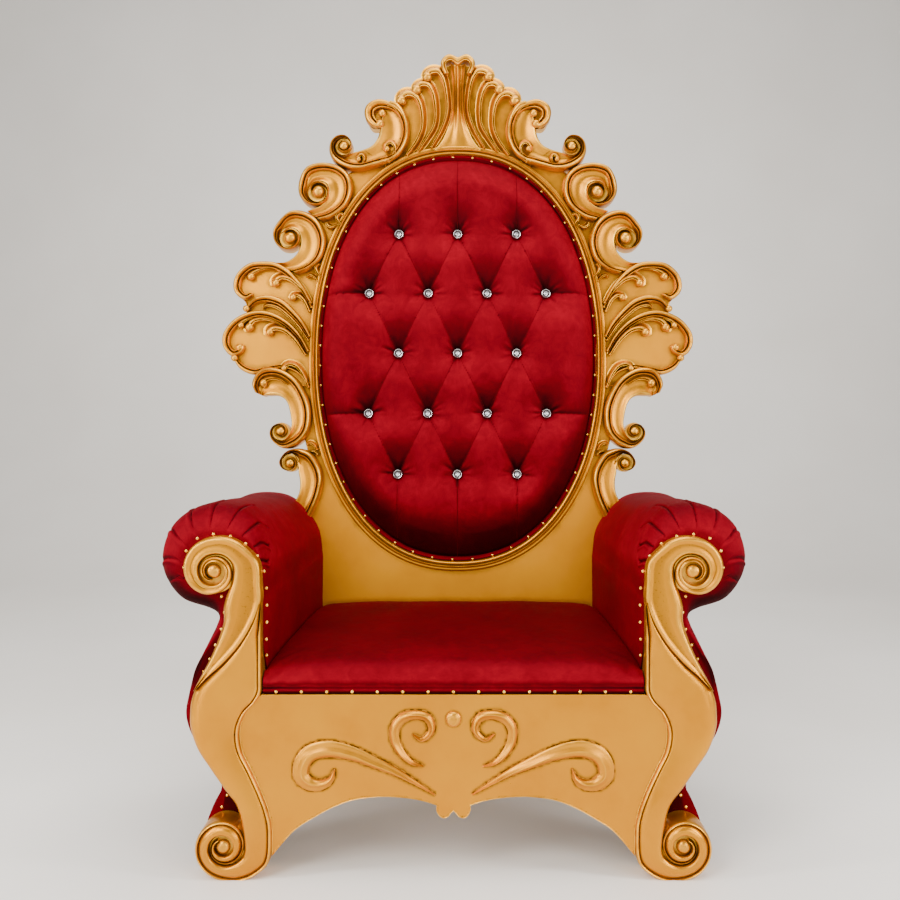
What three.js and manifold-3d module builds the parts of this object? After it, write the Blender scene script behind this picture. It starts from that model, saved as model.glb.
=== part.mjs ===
// A carved and gilded throne: oval buttoned back in a scrolled frame, rolled arms, upholstered seat.
// Millimetres, +Z up, the front faces -Y, "left" is -X. The origin is on the floor under the middle.
import * as THREE from 'three';
import { mergeVertices } from 'three/addons/utils/BufferGeometryUtils.js';
import Module from 'manifold-3d';

const wasm = await Module();
wasm.setup();

// ---- driving dimensions -------------------------------------------------------------------------
const DEPTH = 714;            // from the face of the front legs to the heels of the rear legs
const RECLINE = THREE.MathUtils.degToRad(4);
const GAP = 0.4;              // left between pieces that touch
const SLANT_GAP = 1.4;        // the same, where a level edge meets the leaning board

const SEAT_HALF = 386;        // half the clear width at the front of the seat
const SEAT_TAPER = 38;        // how much closer each arm stands at the back
const RAIL_TOP = 370;
const DECK_THICK = 28;
const CUSHION_CROWN = 76;
const CUSHION_FRONT = 15;     // depth of the cushion's front edge behind the legs' face

const BACK_SEAT_DEPTH = 582;  // depth of the back board's face at the height below
const BACK_SEAT_HEIGHT = 410;
const OVAL_RISE = 671;        // oval centre above that height, measured up the board
const OVAL_HALF_WIDE = 364;
const OVAL_HALF_HIGH = 534;
const OVAL_POWER = 2.2;       // a superellipse a little fuller than an ellipse
const BOARD_THICK = 24;
const BOARD_FOOT = -830;      // lowest edge of the board, from the oval's centre
const COVER_THICK = 6;
const OVAL_STEPS = 32;

const RIM_HEIGHT = 30;        // crest of the scroll rims in front of the board
const FIELD_HEIGHT = 15;      // hollow of the scrolls
const LEAF_HEIGHT = 9;        // ground of the leaf wings and of the crest
const BEAD_WIDTH = 15;        // rounded rim of a scroll
const RING_WIDTH = 26;        // moulding round the oval
const EYE_HEIGHT = 32;        // top of the balls in the scroll eyes

const TUFT_ACROSS = 77;       // half the spacing of the buttons in a row
const TUFT_UP = 157;          // spacing of the rows
const TUFT_MIDDLE = 4;        // middle row above the oval's centre
const TUFT_ROWS = [3, 4, 3, 4, 3];
const PAD_CROWN = 44;
const PAD_EDGE = 8;
const DIMPLE_DEPTH = 30;
const BUTTON_RADIUS = 12;
const BUTTON_RISE = 9;
const BUTTON_SEAT = 8;        // the buttons stand this far off the bottom of their dimples

const LEG_THICK = 64;
const LEG_EDGE = -9;          // level of the front legs' edges; their crest is at 0
const ARM_FRONT_THICK = 25;   // carved scroll in front of the arm
const RAIL_SET_BACK = 15;
const RAIL_THICK = 30;
const RAIL_RELIEF = 7;
const REAR_LEG_OUT = 434;     // middle of each rear leg from the centre line
const REAR_LEG_WIDE = 58;
const REAR_LEG_TOP = 430;
const FOOT_CLEARANCE = 12;    // the side panels end this far above the floor

// ---- carving, right half: distance from the centre line, height from the oval's centre ---------
// Scroll bands are ladders: each rung runs from the rim to the inner edge of the hollow.
const SCROLLS = {
  upper: {
    rungs: [[359, 355, 398, 384], [325, 366, 365, 397], [290, 398, 352, 412], [277, 440, 343, 432],
      [285, 478, 347, 452], [315, 504, 358, 460], [360, 513, 369, 461], [400, 501, 381, 457],
      [420, 462, 390, 445]],
    eye: [368, 435], floor: 21, ball: 13, side: -1,
  },
  middle: {
    rungs: [[420, 214, 481, 246], [385, 228, 456, 247], [357, 256, 434, 259], [346, 300, 419, 280],
      [353, 335, 415, 305], [372, 363, 421, 325], [405, 382, 434, 335], [440, 383, 448, 334],
      [470, 358, 461, 325]],
    eye: [441, 311], floor: 21, ball: 14, side: -1,
  },
  lower: {
    rungs: [[528, -97, 507, -107], [536, -73, 500, -105], [516, -38, 491, -105],
      [470, -32, 472, -105], [424, -57, 454, -113], [395, -98, 443, -128], [380, -150, 435, -160],
      [388, -205, 433, -184], [420, -238, 439, -207], [455, -243, 455, -222],
      [483, -221, 470, -214]],
    eye: [459, -199], floor: 17, ball: 11, side: 1,
  },
  lowest: {
    rungs: [[392, -445, 442, -415], [366, -395, 424, -385], [352, -354, 411, -357],
      [348, -318, 409, -330], [357, -286, 413, -305], [380, -254, 414, -285], [415, -243, 423, -262],
      [445, -252, 437, -257], [462, -278, 450, -268]],
    eye: [433, -281], floor: 16, ball: 12, side: -1,
  },
  shoulder: {
    rungs: [[178, 512, 211, 585], [225, 499, 226, 562], [265, 491, 249, 550], [303, 499, 276, 541],
      [330, 519, 299, 530], [341, 545, 318, 540], [335, 572, 324, 556], [318, 585, 316, 570]],
    eye: [302, 556], floor: 15, ball: 10, side: 1,
  },
  crestHollow: {
    rungs: [[176, 680, 200, 648], [157, 673, 203, 630], [140, 651, 206, 618], [129, 620, 208, 604],
      [128, 585, 212, 586], [139, 551, 220, 569], [159, 526, 234, 556], [188, 509, 250, 550]],
  },
};

// Raised stems, as [x, y, width]. Those that start wide end there in a rounded knob.
const STEMS = {
  crestLobe: [[207, 612, 14], [217, 618, 24], [232, 636, 26], [232, 658, 30], [210, 672, 28],
    [184, 668, 19], [158, 653, 15], [139, 615, 12], [140, 570, 11], [160, 535, 10],
    [184, 514, 8]],
  crestThird: [[147, 674, 14], [150, 686, 22], [138, 700, 24], [118, 698, 22], [102, 682, 15],
    [93, 648, 12], [94, 605, 10], [108, 570, 9], [135, 534, 8]],
  crestSecond: [[107, 702, 14], [109, 715, 20], [96, 727, 22], [78, 724, 19], [65, 705, 13],
    [58, 660, 10], [62, 615, 9], [78, 585, 8], [106, 543, 7]],
  crestFirst: [[80, 738, 14], [81, 751, 20], [70, 761, 24], [52, 761, 21], [37, 740, 13],
    [28, 695, 10], [27, 650, 9], [43, 602, 8], [70, 552, 7]],
  topLeaf: [[536, 160, 8], [560, 154, 14], [578, 172, 17], [576, 202, 18], [545, 234, 18],
    [490, 237, 18], [450, 218, 18], [414, 180, 15], [385, 135, 8]],
  topLeafTip: [[541, 198, 12], [543, 211, 18], [532, 222, 12], [505, 230, 8], [478, 227, 4]],
  topLeafVein: [[476, 180, 12], [478, 193, 20], [466, 205, 16], [444, 203, 14], [420, 186, 13],
    [396, 156, 8]],
  topLeafRoot: [[430, 143, 10], [431, 153, 17], [418, 157, 13], [401, 145, 12], [388, 115, 8]],
  middleLeaf: [[550, 122, 8], [530, 143, 14], [500, 149, 20], [466, 139, 20], [430, 108, 18],
    [405, 78, 14], [388, 48, 8]],
  wing: [[558, 28, 8], [568, 12, 14], [586, 5, 15], [604, 24, 17], [605, 52, 18], [578, 90, 18],
    [530, 109, 16], [492, 106, 16], [450, 84, 14], [392, 10, 8]],
  wingTip: [[540, 62, 14], [544, 76, 21], [534, 90, 15], [508, 96, 9], [480, 90, 4]],
  wingVein: [[488, 50, 14], [491, 62, 21], [480, 71, 16], [455, 68, 14], [425, 42, 12],
    [397, 0, 8]],
  lipLeaf: [[580, -10, 8], [562, -32, 14], [530, -45, 14], [500, -36, 12], [450, -28, 10],
    [388, -70, 7]],
};

// Ground of the leaf wing and of the crest, under their stems.
const WING_GROUND = [[370, 150], [384, 150], [425, 208], [453, 232], [479, 245], [511, 248],
  [542, 242], [567, 225], [583, 203], [587, 183], [581, 160], [562, 145], [553, 125], [557, 108],
  [579, 97], [605, 74], [615, 45], [612, 21], [601, 3], [583, -6], [572, -26], [555, -40],
  [526, -50], [480, -60], [400, -80], [370, -80]];
const CREST_GROUND = [[0, 520], [0, 785], [60, 765], [82, 738], [100, 728], [115, 704],
  [140, 698], [158, 674], [200, 684], [232, 672], [243, 640], [228, 608], [200, 606], [175, 600],
  [200, 530], [190, 500]];
// Plain board that carries them all; its edge runs inside the scrolls.
const BOARD_EDGE = [[0, 700], [60, 690], [120, 640], [170, 560], [245, 510], [300, 480],
  [318, 420], [375, 350], [385, 270], [405, 200], [420, 100], [420, -60], [405, -130], [402, -200],
  [395, -238], [375, -300], [376, -370], [398, -420], [402, -470], [402, BOARD_FOOT]];
const CAP_EDGE = [[0, 774], [11, 780], [22, 785], [33, 781], [40, 768], [52, 766], [46, 784],
  [38, 798], [26, 806], [13, 803], [0, 798]];
// Centre flute of the crest: half width at each height.
const FLUTE = [[62, 548], [44, 567], [32, 590], [19, 628], [13, 668], [13, 704], [15, 735],
  [22, 776]];

// ---- front of the throne, right half: distance from the centre line, height above the floor ----
// Rungs across the leg, from the edge beside the seat and rail to the outer edge.
const LEG_SCROLL = [[486, 688, 484, 652], [445, 682, 466, 646], [412, 660, 450, 624],
  [393, 628, 446, 602], [386, 592, 456, 576], [386, 557, 461, 545], [399, 520, 462, 518],
  [424, 477, 473, 482], [462, 434, 492, 438], [491, 409, 510, 404], [518, 382, 522, 380]];
const LEG_CABRIOLE = [[386, 556, 388, 558], [386, 520, 402, 518], [386, 480, 428, 475],
  [386, 440, 466, 432], [387, 402, 496, 407], [396, 364, 523, 376], [418, 341, 530, 340],
  [431, 300, 529, 303], [427, 258, 515, 261], [409, 220, 491, 224], [389, 177, 461, 181],
  [373, 134, 446, 148], [366, 96, 432, 114], [369, 60, 421, 76], [383, 27, 429, 48],
  [408, 6, 446, 34], [440, -3, 462, 26], [474, -2, 475, 29], [500, 16, 487, 38],
  [515, 44, 494, 53], [517, 72, 495, 69], [508, 97, 490, 84], [490, 111, 478, 92],
  [465, 116, 463, 95]];
const ARM_VOLUTE = { centre: [484, 629], radius: 56, from: 95, turns: -1.6, radii: [46, 17],
  widths: [20, 9], ball: 12 };
const FOOT_VOLUTE = { centre: [463, 66], radius: 50, from: 80, turns: 1.5, radii: [38, 16],
  widths: [16, 8], ball: 12 };

const RAIL_ARCH = [[366, 45], [320, 97], [285, 120], [247, 141], [205, 157], [165, 163], [130, 164],
  [92, 161], [59, 155], [33, 147], [32, 136], [20, 121], [8, 125], [0, 134]];
const RAIL_LONG_SCROLL = [[37, 169, 2], [80, 195, 9], [118, 216, 16], [157, 233, 22],
  [195, 249, 27], [234, 259, 32], [265, 260, 34], [293, 249, 34], [307, 226, 33], [306, 205, 31],
  [288, 190, 27], [265, 189, 21], [247, 200, 13], [239, 221, 2]];
const RAIL_SHORT_SCROLL = [[59, 226, 2], [82, 233, 9], [103, 251, 15], [117, 277, 19],
  [118, 303, 20], [103, 323, 20], [77, 330, 19], [54, 325, 18], [44, 308, 16], [47, 293, 13],
  [64, 280, 9], [83, 291, 2]];
const RAIL_BOSS = { centre: [0, 321], radius: 16 };

// Section of the arm, from the seat side over the roll to the outer side: where the cloth is
// tucked behind the carved scroll, and where the stuffing is full.
const ARM_TUCKED = [[386, 560], [385, 612], [397, 652], [428, 684], [486, 696], [520, 688],
  [543, 665], [551, 634], [545, 600], [522, 577], [474, 562], [468, 525], [473, 498]];
const ARM_FULL = [[380, 560], [383, 630], [402, 688], [440, 722], [490, 734], [547, 724],
  [592, 692], [615, 645], [606, 600], [570, 560], [506, 538], [484, 522], [491, 498]];
// Outer side of the panel below the arm, by height.
const SIDE_PANEL = [[515, 447], [534, 408], [549, 351], [554, 318], [545, 280], [521, 240],
  [492, 200], [480, 165], [496, 131], [511, 90], [514, 50], [504, 0]];
const PANEL_INNER = 432;      // inner face of the side panels below the seat

// ---- colours ------------------------------------------------------------------------------------
const GOLD = { color: 0xcf9444, roughness: 0.38, metalness: 0.7 };
const VELVET = { color: 0x9c0714, roughness: 0.85, metalness: 0 };
const WOOD = { color: 0x8a6a48, roughness: 0.8, metalness: 0 };
const CRYSTAL = { color: 0xd6dade, roughness: 0.15, metalness: 0.6 };

// ---- solids -------------------------------------------------------------------------------------
// A closed geometry as a solid that can be joined and cut.
function solid(geometry) {
  const bare = geometry.clone();
  bare.deleteAttribute('normal');
  bare.deleteAttribute('uv');
  const welded = mergeVertices(bare, 1e-3);
  const triangles = [];
  for (let i = 0; i < welded.index.count; i += 3) {
    const corners = [0, 1, 2].map((k) => welded.index.getX(i + k));
    if (new Set(corners).size === 3) triangles.push(...corners);
  }
  return new wasm.Manifold(new wasm.Mesh({
    numProp: 3,
    vertProperties: Float32Array.from(welded.attributes.position.array),
    triVerts: Uint32Array.from(triangles),
  }));
}

function joined(solids) {
  return solids.reduce((whole, piece) => whole.add(piece));
}

function mirrored(piece) {
  return piece.add(piece.mirror([1, 0, 0]));
}

function geometryOf(piece) {
  const mesh = piece.getMesh();
  const geometry = new THREE.BufferGeometry();
  geometry.setAttribute('position', new THREE.BufferAttribute(mesh.vertProperties, 3));
  geometry.setIndex(new THREE.BufferAttribute(mesh.triVerts, 1));
  return geometry;
}

function signedVolume(points, index) {
  let volume = 0;
  for (let i = 0; i < index.length; i += 3) {
    const [a, b, c] = [points[index[i]], points[index[i + 1]], points[index[i + 2]]];
    volume += a.dot(new THREE.Vector3().crossVectors(b, c));
  }
  return volume;
}

// One section's corners in its own plane, for closing it with triangles.
function flattened(section) {
  const normal = new THREE.Vector3();
  section.forEach((point, i) => {
    normal.add(new THREE.Vector3().crossVectors(point, section[(i + 1) % section.length]));
  });
  const across = section[1].clone().sub(section[0]).normalize();
  const up = new THREE.Vector3().crossVectors(normal.normalize(), across);
  return section.map((point) => new THREE.Vector2(point.dot(across), point.dot(up)));
}

// Skin over a row of sections with equal numbers of corners, closed by flat ends or into a ring.
// A crossed skin turns the diagonal of every second quad.
function loft(sections, ring = false, crossed = false) {
  const corners = sections[0].length;
  const points = sections.flat();
  const index = [];
  const spans = ring ? sections.length : sections.length - 1;
  for (let i = 0; i < spans; i += 1) {
    const next = (i + 1) % sections.length;
    for (let j = 0; j < corners; j += 1) {
      const side = (j + 1) % corners;
      const [a, b] = [i * corners + j, i * corners + side];
      const [c, d] = [next * corners + j, next * corners + side];
      if (crossed && (i + j) % 2 === 1) index.push(a, b, c, b, d, c);
      else index.push(a, b, d, a, d, c);
    }
  }
  if (!ring) {
    const last = (sections.length - 1) * corners;
    const start = THREE.ShapeUtils.triangulateShape(flattened(sections[0]), []);
    const end = THREE.ShapeUtils.triangulateShape(flattened(sections.at(-1)), []);
    start.forEach(([a, b, c]) => index.push(c, b, a));
    end.forEach(([a, b, c]) => index.push(last + a, last + b, last + c));
  }
  if (signedVolume(points, index) < 0) index.reverse();
  const geometry = new THREE.BufferGeometry();
  geometry.setAttribute('position', new THREE.Float32BufferAttribute(
    points.flatMap((point) => [point.x, point.y, point.z]), 3));
  geometry.setIndex(index);
  return solid(geometry);
}

// A flat outline given thickness, from the level `low` to the level `high`.
function plate(outline, low, high) {
  const shape = new THREE.Shape(outline.map(([x, y]) => new THREE.Vector2(x, y)));
  const geometry = new THREE.ExtrudeGeometry(shape, { depth: high - low, bevelEnabled: false });
  return solid(geometry.translate(0, 0, low));
}

// The outline of a right half, carried on round the left half.
function wholeOutline(half) {
  const left = half.filter(([x]) => x > 0).map(([x, y]) => [-x, y]).reverse();
  return [...half, ...left];
}

function smooth(points) {
  const corners = points.map(([x, y, z = 0]) => new THREE.Vector3(x, y, z));
  return new THREE.CatmullRomCurve3(corners, false, 'centripetal');
}

// ---- carving ------------------------------------------------------------------------------------
// A band between two edges. `profile(width)` lists [share across, level] from rim to inner edge.
function band(rungs, steps, profile) {
  const rim = smooth(rungs.map(([x, y]) => [x, y]));
  const inner = smooth(rungs.map(([, , x, y]) => [x, y]));
  const sections = [];
  for (let i = 0; i <= steps; i += 1) {
    const from = rim.getPoint(i / steps);
    const to = inner.getPoint(i / steps);
    sections.push(profile(from.distanceTo(to)).map(([share, level]) => {
      const point = from.clone().lerp(to, share);
      return point.setZ(level);
    }));
  }
  return loft(sections);
}

// Rim bead, groove and hollow of a scroll.
function scrollProfile(width) {
  const bead = Math.min(BEAD_WIDTH / width, 0.5);
  return [[0, -BOARD_THICK], [0, RIM_HEIGHT * 0.6], [bead * 0.5, RIM_HEIGHT],
    [bead * 1.2, FIELD_HEIGHT * 0.8], [1, FIELD_HEIGHT], [1, -BOARD_THICK]];
}

// A raised stem along points [x, y, width], from the level `low` up to `high`. The flat share of
// its top is nothing for a sharp ridge.
function stem(points, steps, low, high, flat = 0.5) {
  const path = smooth(points);
  const middle = new THREE.Vector3();
  const sections = [];
  for (let i = 0; i <= steps; i += 1) {
    path.getPoint(i / steps, middle);
    const tangent = path.getTangent(i / steps);
    const half = middle.z / 2;
    const side = new THREE.Vector3(-tangent.y, tangent.x, 0).normalize().multiplyScalar(half);
    const crest = low + (high - low) * Math.min(1, 0.35 + half / 9);
    const place = (share, level) => new THREE.Vector3(
      middle.x + side.x * share, middle.y + side.y * share, level);
    const top = flat > 0 ? [place(-flat, crest), place(flat, crest)] : [place(0, crest)];
    sections.push([place(-1, low), ...top, place(1, low)]);
  }
  return loft(sections);
}

// Points of a stem that winds about a centre, its radius and width easing from first to last.
function coilPoints(centre, fromDegrees, turns, radii, widths, steps) {
  return Array.from({ length: steps + 1 }, (_, i) => {
    const share = i / steps;
    const left = (1 - share) ** 1.6;
    const angle = THREE.MathUtils.degToRad(fromDegrees + 360 * turns * share);
    const radius = radii[1] + (radii[0] - radii[1]) * left;
    const width = widths[1] + (widths[0] - widths[1]) * left;
    return [centre[0] + radius * Math.cos(angle), centre[1] + radius * Math.sin(angle), width];
  });
}

function ball([x, y], radius, top) {
  const geometry = new THREE.SphereGeometry(radius, 6, 4);
  return solid(geometry.rotateX(Math.PI / 2).translate(x, y, top - radius));
}

// A knob turned about an axis through the drawing: [radius, level] from its foot to its top.
function turned([x, y], profile, sides) {
  const corners = profile.map(([radius, level]) => new THREE.Vector2(radius, level));
  const geometry = new THREE.LatheGeometry(corners, sides);
  return solid(geometry.rotateX(Math.PI / 2).translate(x, y, 0));
}

// Ball in the eye of a scroll, with the floor of the hollow round it.
function scrollEye(centre, floorRadius, ballRadius) {
  return turned(centre, [[0, -BOARD_THICK], [floorRadius, -BOARD_THICK],
    [floorRadius, FIELD_HEIGHT], [ballRadius, FIELD_HEIGHT], [ballRadius * 0.5, EYE_HEIGHT],
    [0, EYE_HEIGHT]], 7);
}

function disc([x, y], radius, low, high, sides) {
  const geometry = new THREE.CylinderGeometry(radius, radius, high - low, sides);
  return solid(geometry.rotateX(Math.PI / 2).translate(x, y, (low + high) / 2));
}

// Rungs that carry a band on for half a turn round its eye, closing in on the floor of the eye.
function coilRungs([x, y], last, floor, side) {
  const start = new THREE.Vector2(last[0] - x, last[1] - y);
  const steps = 3;
  return Array.from({ length: steps }, (_, i) => {
    const share = (i + 1) / steps;
    const angle = start.angle() + side * Math.PI * share;
    const radius = floor + 4 + (start.length() - floor - 4) * (1 - share) ** 1.4;
    const [cos, sin] = [Math.cos(angle), Math.sin(angle)];
    return [x + radius * cos, y + radius * sin, x + (floor - 1) * cos, y + (floor - 1) * sin];
  });
}

// A scroll band with its volute: the rim winds on round the eye, which holds a ball.
function scroll({ rungs, eye, floor, ball: ballRadius, side }) {
  if (!eye) return band(rungs, rungs.length - 1, scrollProfile);
  const wound = [...rungs, ...coilRungs(eye, rungs.at(-1), floor, side)];
  return band(wound, wound.length - 1, scrollProfile).add(scrollEye(eye, floor, ballRadius));
}

function stems() {
  return joined(Object.values(STEMS).map((points) => {
    const steps = Math.round(points.length * 0.75);
    return stem(points, steps, LEAF_HEIGHT, RIM_HEIGHT - 4, 0);
  }));
}

// ---- the back -----------------------------------------------------------------------------------
// A point of the oval, moved outward by `offset`.
function ovalPoint(angle, offset = 0) {
  const power = 2 / OVAL_POWER;
  const wide = Math.sign(Math.cos(angle)) * Math.abs(Math.cos(angle)) ** power;
  const high = Math.sign(Math.sin(angle)) * Math.abs(Math.sin(angle)) ** power;
  return [(OVAL_HALF_WIDE + offset) * wide, (OVAL_HALF_HIGH + offset) * high];
}

function ovalOutline(steps, offset) {
  return Array.from({ length: steps }, (_, i) => ovalPoint((i / steps) * 2 * Math.PI, offset));
}

// Moulding round the opening: two beads with a groove between, then a flat fillet.
function ovalRing() {
  const profile = [[0, -BOARD_THICK], [0, 22], [9, 17], [16, 23], [RING_WIDTH, 13],
    [RING_WIDTH, -BOARD_THICK]];
  const rings = profile.map(([offset, level]) => ovalOutline(OVAL_STEPS, offset)
    .map(([x, y]) => new THREE.Vector3(x, y, level)));
  const sections = rings[0].map((_, i) => rings.map((ring) => ring[i]));
  return loft(sections, true);
}

// Three soft ridges between the crest's first pair of ribs, spreading on to the ring.
function crestFlute() {
  const rungs = FLUTE.map(([half, y]) => [-half, y, half, y]);
  const levels = [20, 12, 19, 12, 20];
  return band(rungs, 7, () => [[0, -BOARD_THICK],
    ...levels.map((level, i) => [i / (levels.length - 1), level]), [1, -BOARD_THICK]]);
}

function backFrame() {
  const board = plate(wholeOutline(BOARD_EDGE), -BOARD_THICK, 0);
  const wing = plate(WING_GROUND, -BOARD_THICK, LEAF_HEIGHT);
  const crest = plate(CREST_GROUND, -BOARD_THICK, LEAF_HEIGHT);
  const cap = plate(wholeOutline(CAP_EDGE), -BOARD_THICK, EYE_HEIGHT);
  const carving = joined([...Object.values(SCROLLS).map(scroll), stems(), wing, crest]);
  const seated = carving.subtract(armPrint());
  const opening = plate(ovalOutline(OVAL_STEPS, GAP / 2), -2 * BOARD_THICK, 2 * EYE_HEIGHT);
  return joined([board, mirrored(seated), crestFlute(), cap]).subtract(opening).add(ovalRing());
}

// Where the end of the arm meets the board: the carving stops short of it.
function armPrint() {
  const [middleX, middleY] = [490, 600];
  const grow = 1.03;
  const outline = armSection(BACK_SEAT_DEPTH, 1).map(([x, y]) => {
    const height = middleY + (y - middleY) * grow;
    return [middleX + (x - middleX) * grow,
      (height - BACK_SEAT_HEIGHT) / Math.cos(RECLINE) - OVAL_RISE];
  });
  return plate(outline, 0, 2 * EYE_HEIGHT);
}

function tuftPoints() {
  return TUFT_ROWS.flatMap((count, row) => {
    const y = TUFT_MIDDLE + TUFT_UP * ((TUFT_ROWS.length - 1) / 2 - row);
    return Array.from({ length: count }, (_, i) => [TUFT_ACROSS * (2 * i - count + 1), y]);
  });
}

// Level of the pad's face: crowned in the middle, falling to the ring, drawn in at each button.
function padLevel(x, y, tufts) {
  const reach = (Math.abs(x / OVAL_HALF_WIDE) ** OVAL_POWER
    + Math.abs(y / OVAL_HALF_HIGH) ** OVAL_POWER) ** (1 / OVAL_POWER);
  const crown = PAD_EDGE + (PAD_CROWN - PAD_EDGE) * Math.min(1, Math.max(0, (1 - reach) * 5));
  const nearest = Math.min(...tufts.map(([u, v]) => Math.hypot(x - u, y - v)));
  return crown - DIMPLE_DEPTH * Math.exp(-nearest / 30);
}

function backPad() {
  const tufts = tuftPoints();
  const columns = 20;
  const rows = 14;
  const stepX = TUFT_ACROSS / 2;
  const stepY = TUFT_UP / 2;
  const back = GAP - BOARD_THICK;
  const sections = Array.from({ length: columns + 1 }, (_, i) => {
    const x = (i - columns / 2) * stepX;
    const face = Array.from({ length: rows + 1 }, (__, j) => {
      const y = TUFT_MIDDLE + (j - rows / 2) * stepY;
      return new THREE.Vector3(x, y, padLevel(x, y, tufts));
    });
    const top = face.at(-1);
    return [...face, new THREE.Vector3(x, top.y, back), new THREE.Vector3(x, face[0].y, back)];
  });
  const outline = plate(ovalOutline(OVAL_STEPS, -GAP - 0.2), back - 1, 2 * PAD_CROWN);
  return loft(sections, false, true).intersect(outline);
}

function button([x, y], tufts) {
  const base = padLevel(x, y, tufts) + BUTTON_SEAT;
  return turned([x, y], [[0, base], [BUTTON_RADIUS, base],
    [BUTTON_RADIUS * 0.7, base + BUTTON_RISE], [0, base + BUTTON_RISE]], 5);
}

function rearCover() {
  const top = -BOARD_THICK - GAP;
  return plate(ovalOutline(OVAL_STEPS, RING_WIDTH), top - COVER_THICK, top);
}

// ---- legs, rail and seat ------------------------------------------------------------------------
// Section of a leg: flat behind, rounded in front, with levels for its back, edges and crest.
function crownedProfile(back, edge, crest) {
  return () => [[0, back], [0, edge], [0.2, crest], [0.75, crest - 1], [1, edge], [1, back]];
}

// A volute on a front leg: a disc with a ridge that winds in to a ball.
function volute({ centre, radius, from, turns, radii, widths, ball: ballRadius }, back) {
  const floor = LEG_EDGE + 1;
  const points = coilPoints(centre, from, turns, radii, widths, 15);
  return joined([disc(centre, radius, back, floor, 12), stem(points, 12, floor, 0, 0),
    ball(centre, ballRadius, 0)]);
}

// A block over the whole of a front leg's width, between two heights and two levels.
function block(bottom, top, low, high) {
  const [inner, outer] = [300, 650];
  return plate([[inner, bottom], [outer, bottom], [outer, top], [inner, top]], low, high);
}

// The carved arm front and the cabriole leg below it, one piece, cut level where it stands.
function frontLeg() {
  const parts = [band(LEG_SCROLL, 9, crownedProfile(-ARM_FRONT_THICK, LEG_EDGE, 0)),
    band(LEG_CABRIOLE, LEG_CABRIOLE.length - 1, crownedProfile(-LEG_THICK, LEG_EDGE - 1, -2)),
    volute(ARM_VOLUTE, -ARM_FRONT_THICK), volute(FOOT_VOLUTE, -LEG_THICK)];
  const armRoom = block(RAIL_TOP, RAIL_TOP + 400, -2 * LEG_THICK, -ARM_FRONT_THICK);
  const floor = block(-100, 0, -2 * LEG_THICK, LEG_THICK);
  return joined(parts).subtract(armRoom).subtract(floor);
}

// Edge of the rail along the leg, from its top down to the arch.
function railEnd() {
  const [footMiddle] = FOOT_VOLUTE.centre;
  const [, archTop] = RAIL_ARCH[0];
  const besideLeg = LEG_CABRIOLE
    .filter(([x, y]) => x < footMiddle && y < RAIL_TOP && y > archTop)
    .map(([x, y]) => [x - GAP - 0.1, y]);
  return [[SEAT_HALF - GAP, RAIL_TOP], ...besideLeg];
}

function frontRail() {
  const outline = wholeOutline([[0, RAIL_TOP], ...railEnd(), ...RAIL_ARCH]);
  const face = -RAIL_SET_BACK;
  const panel = plate(outline, face - RAIL_THICK, face);
  const relief = joined([RAIL_LONG_SCROLL, RAIL_SHORT_SCROLL]
    .map((points) => stem(points, points.length - 2, face, face + RAIL_RELIEF, 0)));
  const boss = ball(RAIL_BOSS.centre, RAIL_BOSS.radius, face + RAIL_BOSS.radius * 0.7);
  return joined([panel, mirrored(relief), boss]);
}

// Half the clear width between the arms, at a depth behind the legs' face.
function seatHalf(depth) {
  return SEAT_HALF - SEAT_TAPER * (depth / BACK_SEAT_DEPTH);
}

// Depth of the back board's face at a height above the floor.
function boardDepth(height) {
  return BACK_SEAT_DEPTH + (height - BACK_SEAT_HEIGHT) * Math.tan(RECLINE);
}

// Side outline [depth, height] of the cushion: rolled front edge, crowned top, back to the board.
function cushionOutline(crown) {
  const top = RAIL_TOP + crown;
  const low = RAIL_TOP + GAP;
  const rear = (height) => boardDepth(height) - SLANT_GAP;
  return [[CUSHION_FRONT + 4, low], [CUSHION_FRONT - 3, low + 14], [CUSHION_FRONT, low + 32],
    [CUSHION_FRONT + 20, top - 20], [CUSHION_FRONT + 70, top - 8], [220, top], [420, top],
    [530, top - 6], [rear(top - 26), top - 26], [rear(low), low]];
}

function seatCushion() {
  const stations = [[-1, 0.86], [-0.9, 0.96], [-0.45, 1], [0.45, 1], [0.9, 0.96], [1, 0.86]];
  const sections = stations.map(([share, swell]) => cushionOutline(CUSHION_CROWN * swell)
    .map(([depth, height]) => new THREE.Vector3(
      share * (seatHalf(depth) - 1.5), height, -depth)));
  return loft(sections);
}

function seatDeck() {
  const front = RAIL_SET_BACK + RAIL_THICK + GAP;
  const rear = boardDepth(RAIL_TOP - DECK_THICK) - SLANT_GAP;
  const outline = [[seatHalf(front) - 1, front], [seatHalf(rear) - 1, rear],
    [1 - seatHalf(rear), rear], [1 - seatHalf(front), front]];
  const board = plate(outline, RAIL_TOP - DECK_THICK, RAIL_TOP);
  return board.rotate([-90, 0, 0]);
}

// ---- arms ---------------------------------------------------------------------------------------
// The panels' lower edge rises behind the front foot and stays up as far as the rear leg.
function panelFoot(depth) {
  const [rise, from, to] = [190, 90, 270];
  return FOOT_CLEARANCE + rise * THREE.MathUtils.smoothstep(depth, from, to);
}

// Outer side of the panels at a height, read off the curve.
function sidePanelPoint(height) {
  const curve = SIDE_PANEL;
  const i = Math.max(1, curve.findIndex(([, y]) => y <= height));
  const [x0, y0] = curve[i - 1];
  const [x1, y1] = curve[i];
  return x0 + ((x1 - x0) * (y0 - height)) / (y0 - y1);
}

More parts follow.
